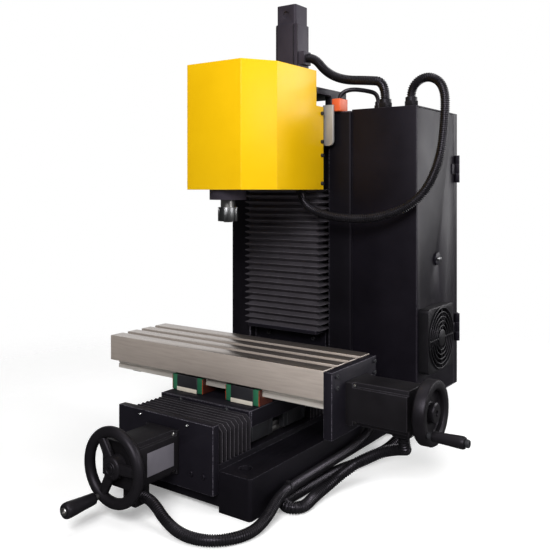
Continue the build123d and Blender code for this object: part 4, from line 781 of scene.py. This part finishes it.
yWheel = {
    "centre": (0, -337, 70), "rim": 44.0, "section": 14.0,
    "hub": [
        (3.2, 3), (3.6, 0.4), (6.2, 0.4), (6.6, 0), (8.2, 0), (8.8, 0.8), (12.6, 0.8), (14.6, 2.4),
        (15, 4), (15, 15), (3.2, 15), (3.2, 3),
    ],
    "spoke": 15.0, "spokeThick": 8.0, "spokeStart": 8, "spokeSoft": 3, "spokeTaper": 0.8,
    "spokeAngles": (242, 122, 2),
}
rimProfile = ringProfile(yWheel["rim"], yWheel["section"] / 2, yWheel["section"], 20)
wheelShapes = [
    turnedShape(rimProfile, yWheel["centre"], (0, 1, 0), 80),
    turnedShape(yWheel["hub"], yWheel["centre"], (0, 1, 0), 40),
]
for angle in yWheel["spokeAngles"]:
    out = Vector((math.cos(math.radians(angle)), 0, math.sin(math.radians(angle))))
    middle = Vector(yWheel["centre"]) + Vector((0, yWheel["section"] / 2, 0))
    spoke = bar(
        middle + out * yWheel["spokeStart"],
        middle + out * yWheel["rim"],
        yWheel["spoke"],
        yWheel["spokeThick"],
        (0, 1, 0),
        yWheel["spokeSoft"],
        yWheel["spokeTaper"],
    )
    wheelShapes.append(spoke)
keepPiece("yWheel", joinShapes(*wheelShapes), "wheelBlack", "y_drive", ("y_handwheel",), smooth=45)

xWheel = {
    "centre": (320, -79.5, 131),
    "profile": [
        (4, -2), (4.4, 0), (11.5, 0), (13, -1.5), (13, -8), (14, -9), (27.6, -9), (29, -7.6),
        (29.2, -2.6), (31.4, -0.4), (33, 0), (38.6, 0), (40.8, -0.6), (42, -2.6), (42, -14.4),
        (39.6, -17), (31.4, -17), (29, -14.6), (29, -13), (13, -13), (13, -25), (12, -26), (4, -26), (4, -2),
    ],
}
keepPiece(
    "xWheel",
    turnedShape(xWheel["profile"], xWheel["centre"], (1, 0, 0), 80),
    "wheelBlack",
    "x_drive",
    ("x_handwheel",),
    smooth=40,
)

grip = {
    "gap": 6.5,
    "xProfile": [
        (4.05, 0), (5.8, 0), (6.5, 0.8), (6.6, 6), (7.0, 18), (7.6, 30), (7.9, 36.5), (7.7, 39.8),
        (7.0, 41.5), (5.8, 42), (4.05, 42), (4.05, 0),
    ],
    # the Y grip is stouter, and takes the pin's head in a counterbore
    "yProfile": [
        (4.05, 0), (6.4, 0), (7.3, 0.9), (7.6, 6), (8.3, 18), (9.3, 31), (9.8, 38.5), (9.6, 42.6),
        (8.8, 44.6), (7.4, 45.4), (5.3, 45.4), (5.3, 42.2), (4.05, 42.2), (4.05, 0),
    ],
    "pinProfile": [
        (0.001, -6), (3.9, -6), (3.9, 42.5), (4.6, 42.5), (5, 42.9), (5, 46.3), (4.3, 47), (2.4, 47),
        (2.1, 44.8), (0.001, 44.8),
    ],
    "yPin": (-20.657, -337, 31.15),
    "xPin": (320, -109.273, 111.665),
}
for name, profile, pin, outward, drive, body, node, pinFinish in (
    ("yGrip", grip["yProfile"], grip["yPin"], (0, -1, 0), "y_drive", "y_crank_grip", "y_grip", "groundSteel"),
    ("xGrip", grip["xProfile"], grip["xPin"], (1, 0, 0), "x_drive", "x_crank_grip", "x_grip", "darkSteel"),
):
    root = Vector(pin) + Vector(outward) * grip["gap"]
    keepPiece(name, turnedShape(profile, root, outward, 40), "wheelBlack", body, (node,), smooth=40)
    pinShape = turnedShape(grip["pinProfile"], root, outward, 28)
    keepPiece(name + "Pin", pinShape, pinFinish, drive, (), smooth=35)
print("wheels and grips turned")

guard = {
    "centre": (245.6, 115, 186), "rings": (46.5, 39.5, 32.5, 25.5, 18.5), "wire": 2.2, "wireLift": 1.2,
    "hub": [(0.001, 2.4), (11.5, 2.4), (13, 1.8), (13, 0.4), (0.001, 0.4)],
    "spokeAngles": (0, 90, 180, 270), "spokeLift": 0.9, "spokeFrom": 10, "spokeTo": 47,
    "spoke": 2.6, "spokeThick": 1.8, "spokeSoft": 0.5,
}
guardShapes = []
for radius in guard["rings"]:
    wire = ringProfile(radius, guard["wireLift"], guard["wire"], 8)
    guardShapes.append(turnedShape(wire, guard["centre"], (1, 0, 0), 56))
guardShapes.append(turnedShape(guard["hub"], guard["centre"], (1, 0, 0), 40))
root = Vector(guard["centre"]) + Vector((guard["spokeLift"], 0, 0))
for angle in guard["spokeAngles"]:
    out = Vector((0, math.cos(math.radians(angle)), math.sin(math.radians(angle))))
    start, end = root + out * guard["spokeFrom"], root + out * guard["spokeTo"]
    guardShapes.append(bar(start, end, guard["spoke"], guard["spokeThick"], (1, 0, 0), guard["spokeSoft"]))
keepPiece("fanGuardWires", joinShapes(*guardShapes), "blackPlastic", "door", ("fan_guard",), smooth=50)
print("fan guard ready")


# shares of the head's radius and height, and mm for how far it is sunk
screwHead = {
    "high": 1.05, "socketFloor": 0.4, "socketIn": 0.46, "socketOut": 0.5,
    "rimIn": 0.84, "rimLow": 0.82, "sunk": 0.3,
}


def socketScrew(place, outward, radius):
    # a cap screw with a broken rim and a round socket, its root sunk a little
    high = radius * screwHead["high"]
    floor = high * screwHead["socketFloor"]
    profile = [
        (0.001, floor), (radius * screwHead["socketIn"], floor), (radius * screwHead["socketOut"], high),
        (radius * screwHead["rimIn"], high), (radius, high * screwHead["rimLow"]),
        (radius, -screwHead["sunk"]), (0.001, -screwHead["sunk"]),
    ]
    return turnedShape(profile, place, outward, 20)


motorReach = 23.6  # from a motor's axis to its screws
motorCorners = [(across, up) for across in (-motorReach, motorReach) for up in (-motorReach, motorReach)]
coverHeights = (425, 469.5, 491, 536)
screws = {
    "yPlateScrews": {
        "body": "base", "finish": "brightSteel", "radius": 2.0, "outward": (0, -1, 0),
        "places": [(-43, -242, 107), (43, -242, 107)],
    },
    "yPlateLowScrews": {
        "body": "base", "finish": "platePaint", "radius": 3.2, "outward": (0, -1, 0),
        "places": [(x, -242, 46.5) for x in (-71.5, -51, 51, 71.5)],
    },
    "yMotorScrews": {
        "body": "base", "finish": "groundSteel", "radius": 2.6, "outward": (0, -1, 0),
        "places": [(x, -247, 70 + z) for x, z in motorCorners],
    },
    "saddleScrews": {
        "body": "saddle", "finish": "darkSteel", "radius": 3.2, "outward": (0, -1, 0),
        "places": [(-43, -161, 107.2), (43, -161, 107.2)],
    },
    "endPlateScrews": {
        "body": "table", "finish": "darkSteel", "radius": 2.7, "outward": (1, 0, 0),
        "places": [(203, y, z) for y in (-131, -26) for z in (171.5, 156)],
    },
    "xMotorScrews": {
        "body": "table", "finish": "groundSteel", "radius": 2.8, "outward": (1, 0, 0),
        "places": [(214, y - 79.5, 131 + z) for y, z in motorCorners],
    },
    "coverScrewsRight": {
        "body": "head", "finish": "darkSteel", "radius": 3.0, "outward": (1, 0, 0),
        "places": [(80, 32, z) for z in coverHeights],
    },
    "coverScrewsLeft": {
        "body": "head", "finish": "darkSteel", "radius": 3.0, "outward": (-1, 0, 0),
        "places": [(-80, 32, z) for z in coverHeights],
    },
    "bracketScrews": {
        "body": "base", "finish": "darkSteel", "radius": 3.4, "outward": (0, -1, 0),
        "places": [(-45, 64, 170), (45, 64, 170)],
    },
}
for name, group in screws.items():
    shapes = [socketScrew(place, group["outward"], group["radius"]) for place in group["places"]]
    keepPiece(name, joinShapes(*shapes), group["finish"], group["body"], (), smooth=35)
print("screws", sum(len(group["places"]) for group in screws.values()))

hubPlug = [(0.001, -1.4), (2.4, -1.4), (2.7, 0.5), (5.2, 0.5), (5.6, 0.1), (5.6, -0.6), (0.001, -1.8)]
keepPiece("yHubPlug", turnedShape(hubPlug, yWheel["centre"], (0, -1, 0), 28), "wheelBlack", "y_drive")

zGrooves = {
    "low": 581.0, "high": 689.0, "width": 1.8, "thick": 0.5, "soft": 0.2,
    "front": 46.0, "side": 21.5, "inset": 5.0,
}


def grooveStrip(x, y, normal):
    start, end = (x, y, zGrooves["low"]), (x, y, zGrooves["high"])
    return bar(start, end, zGrooves["width"], zGrooves["thick"], normal, zGrooves["soft"])


grooveShapes = []
for way in (-1, 1):
    inward, back = zGrooves["side"] - zGrooves["inset"], zGrooves["front"] + zGrooves["inset"]
    grooveShapes.append(grooveStrip(way * inward, zGrooves["front"], (0, -1, 0)))
    grooveShapes.append(grooveStrip(way * zGrooves["side"], back, (way, 0, 0)))
keepPiece("zMotorGrooves", joinShapes(*grooveShapes), "blackPlastic", "base")

lockWing = {"from": (234.6, 126.4, 306), "to": (234.6, 141.6, 306), "width": 4.4, "thick": 2.8, "soft": 1.2}
keepPiece(
    "lockWing",
    bar(lockWing["from"], lockWing["to"], lockWing["width"], lockWing["thick"], (1, 0, 0), lockWing["soft"]),
    "toolSteel",
    "lock",
)

motorLabel = {
    "from": (28.7, -300.5, 69.5), "to": (28.7, -252.5, 69.5), "width": 30.0, "thick": 0.6, "soft": 0.25,
}
labelShape = bar(
    motorLabel["from"],
    motorLabel["to"],
    motorLabel["width"],
    motorLabel["thick"],
    (1, 0, 0),
    motorLabel["soft"],
)
keepPiece("yMotorLabel", labelShape, "labelPale", "base")

xGuides = {
    "rails": (-121.5, -37.5), "blocks": (-52, 52), "body": 40.0, "cap": 9.0, "seal": 1.5,
    "section": [
        (-16, 112.4), (16, 112.4), (16, 134.2), (8.8, 134.2), (8.8, 123.2), (-8.8, 123.2),
        (-8.8, 134.2), (-16, 134.2),
    ],
    "stripHeight": 5.8, "stripMiddle": 114.8, "stripThick": 0.8, "stripInset": 0.6, "front": 17.0, "soft": 0.25,
}


def sealPlate(x, way, y):
    # a thin wiper plate at the end of a block, cut out for the rail
    bm = bmesh.new()
    corners = [bm.verts.new(toMetres((x, y + across, high))) for across, high in xGuides["section"]]
    made = bmesh.ops.extrude_face_region(bm, geom=[bm.faces.new(corners)])["geom"]
    lifted = [part for part in made if isinstance(part, bmesh.types.BMVert)]
    bmesh.ops.translate(bm, verts=lifted, vec=(way * xGuides["seal"] * mm, 0, 0))
    bmesh.ops.recalc_face_normals(bm, faces=bm.faces)
    roundEdges(bm, xGuides["soft"], 1)
    edgeMark = bm.faces.layers.float.new("edgeMark")
    bm.normal_update()
    for face in bm.faces:
        # the side faces are marked for the seal's orange; the end faces keep the dark base colour, a painted
        # shade
        face[edgeMark] = float(abs(face.normal.x) < 0.9)
    return bm


sealShapes = []
stripShapes = []
reach = xGuides["body"] / 2 + xGuides["cap"]
for rail in xGuides["rails"]:
    for middle in xGuides["blocks"]:
        sealShapes += [sealPlate(middle + way * reach, way, rail) for way in (-1, 1)]
        front = rail - xGuides["front"] - xGuides["stripThick"] / 2
        half = xGuides["body"] / 2 - xGuides["stripInset"]
        start = (middle - half, front, xGuides["stripMiddle"])
        end = (middle + half, front, xGuides["stripMiddle"])
        strip = bar(start, end, xGuides["stripHeight"], xGuides["stripThick"], (0, -1, 0), xGuides["soft"])
        stripShapes.append(strip)
keepPiece("guideSeals", joinShapes(*sealShapes), "sealOrange", "saddle")
keepPiece("guideStrips", joinShapes(*stripShapes), "stripCream", "saddle")

tie = {
    "centre": (152.2, -168.6, 25.2), "along": (-0.06, 1, 0.03), "inner": 6.6, "outer": 8.0,
    "half": 1.9, "edge": 0.4, "lugFrom": (152.2, -171, 34.4), "lugTo": (152.2, -166.2, 34.4),
    "lugWidth": 5.2, "lugThick": 3.6, "lugSoft": 0.6,
}
tieProfile = [
    (tie["inner"], -tie["half"]),
    (tie["outer"] - tie["edge"], -tie["half"]),
    (tie["outer"], tie["edge"] - tie["half"]),
]
tieProfile += [(radius, -height) for radius, height in reversed(tieProfile)]
tieShapes = [
    turnedShape(tieProfile + tieProfile[:1], tie["centre"], tie["along"], 36),
    bar(tie["lugFrom"], tie["lugTo"], tie["lugWidth"], tie["lugThick"], (0, 0, 1), tie["lugSoft"]),
]
keepPiece("cableTie", joinShapes(*tieShapes), "blackPlastic", "base")
print("labels, seals and tie ready")
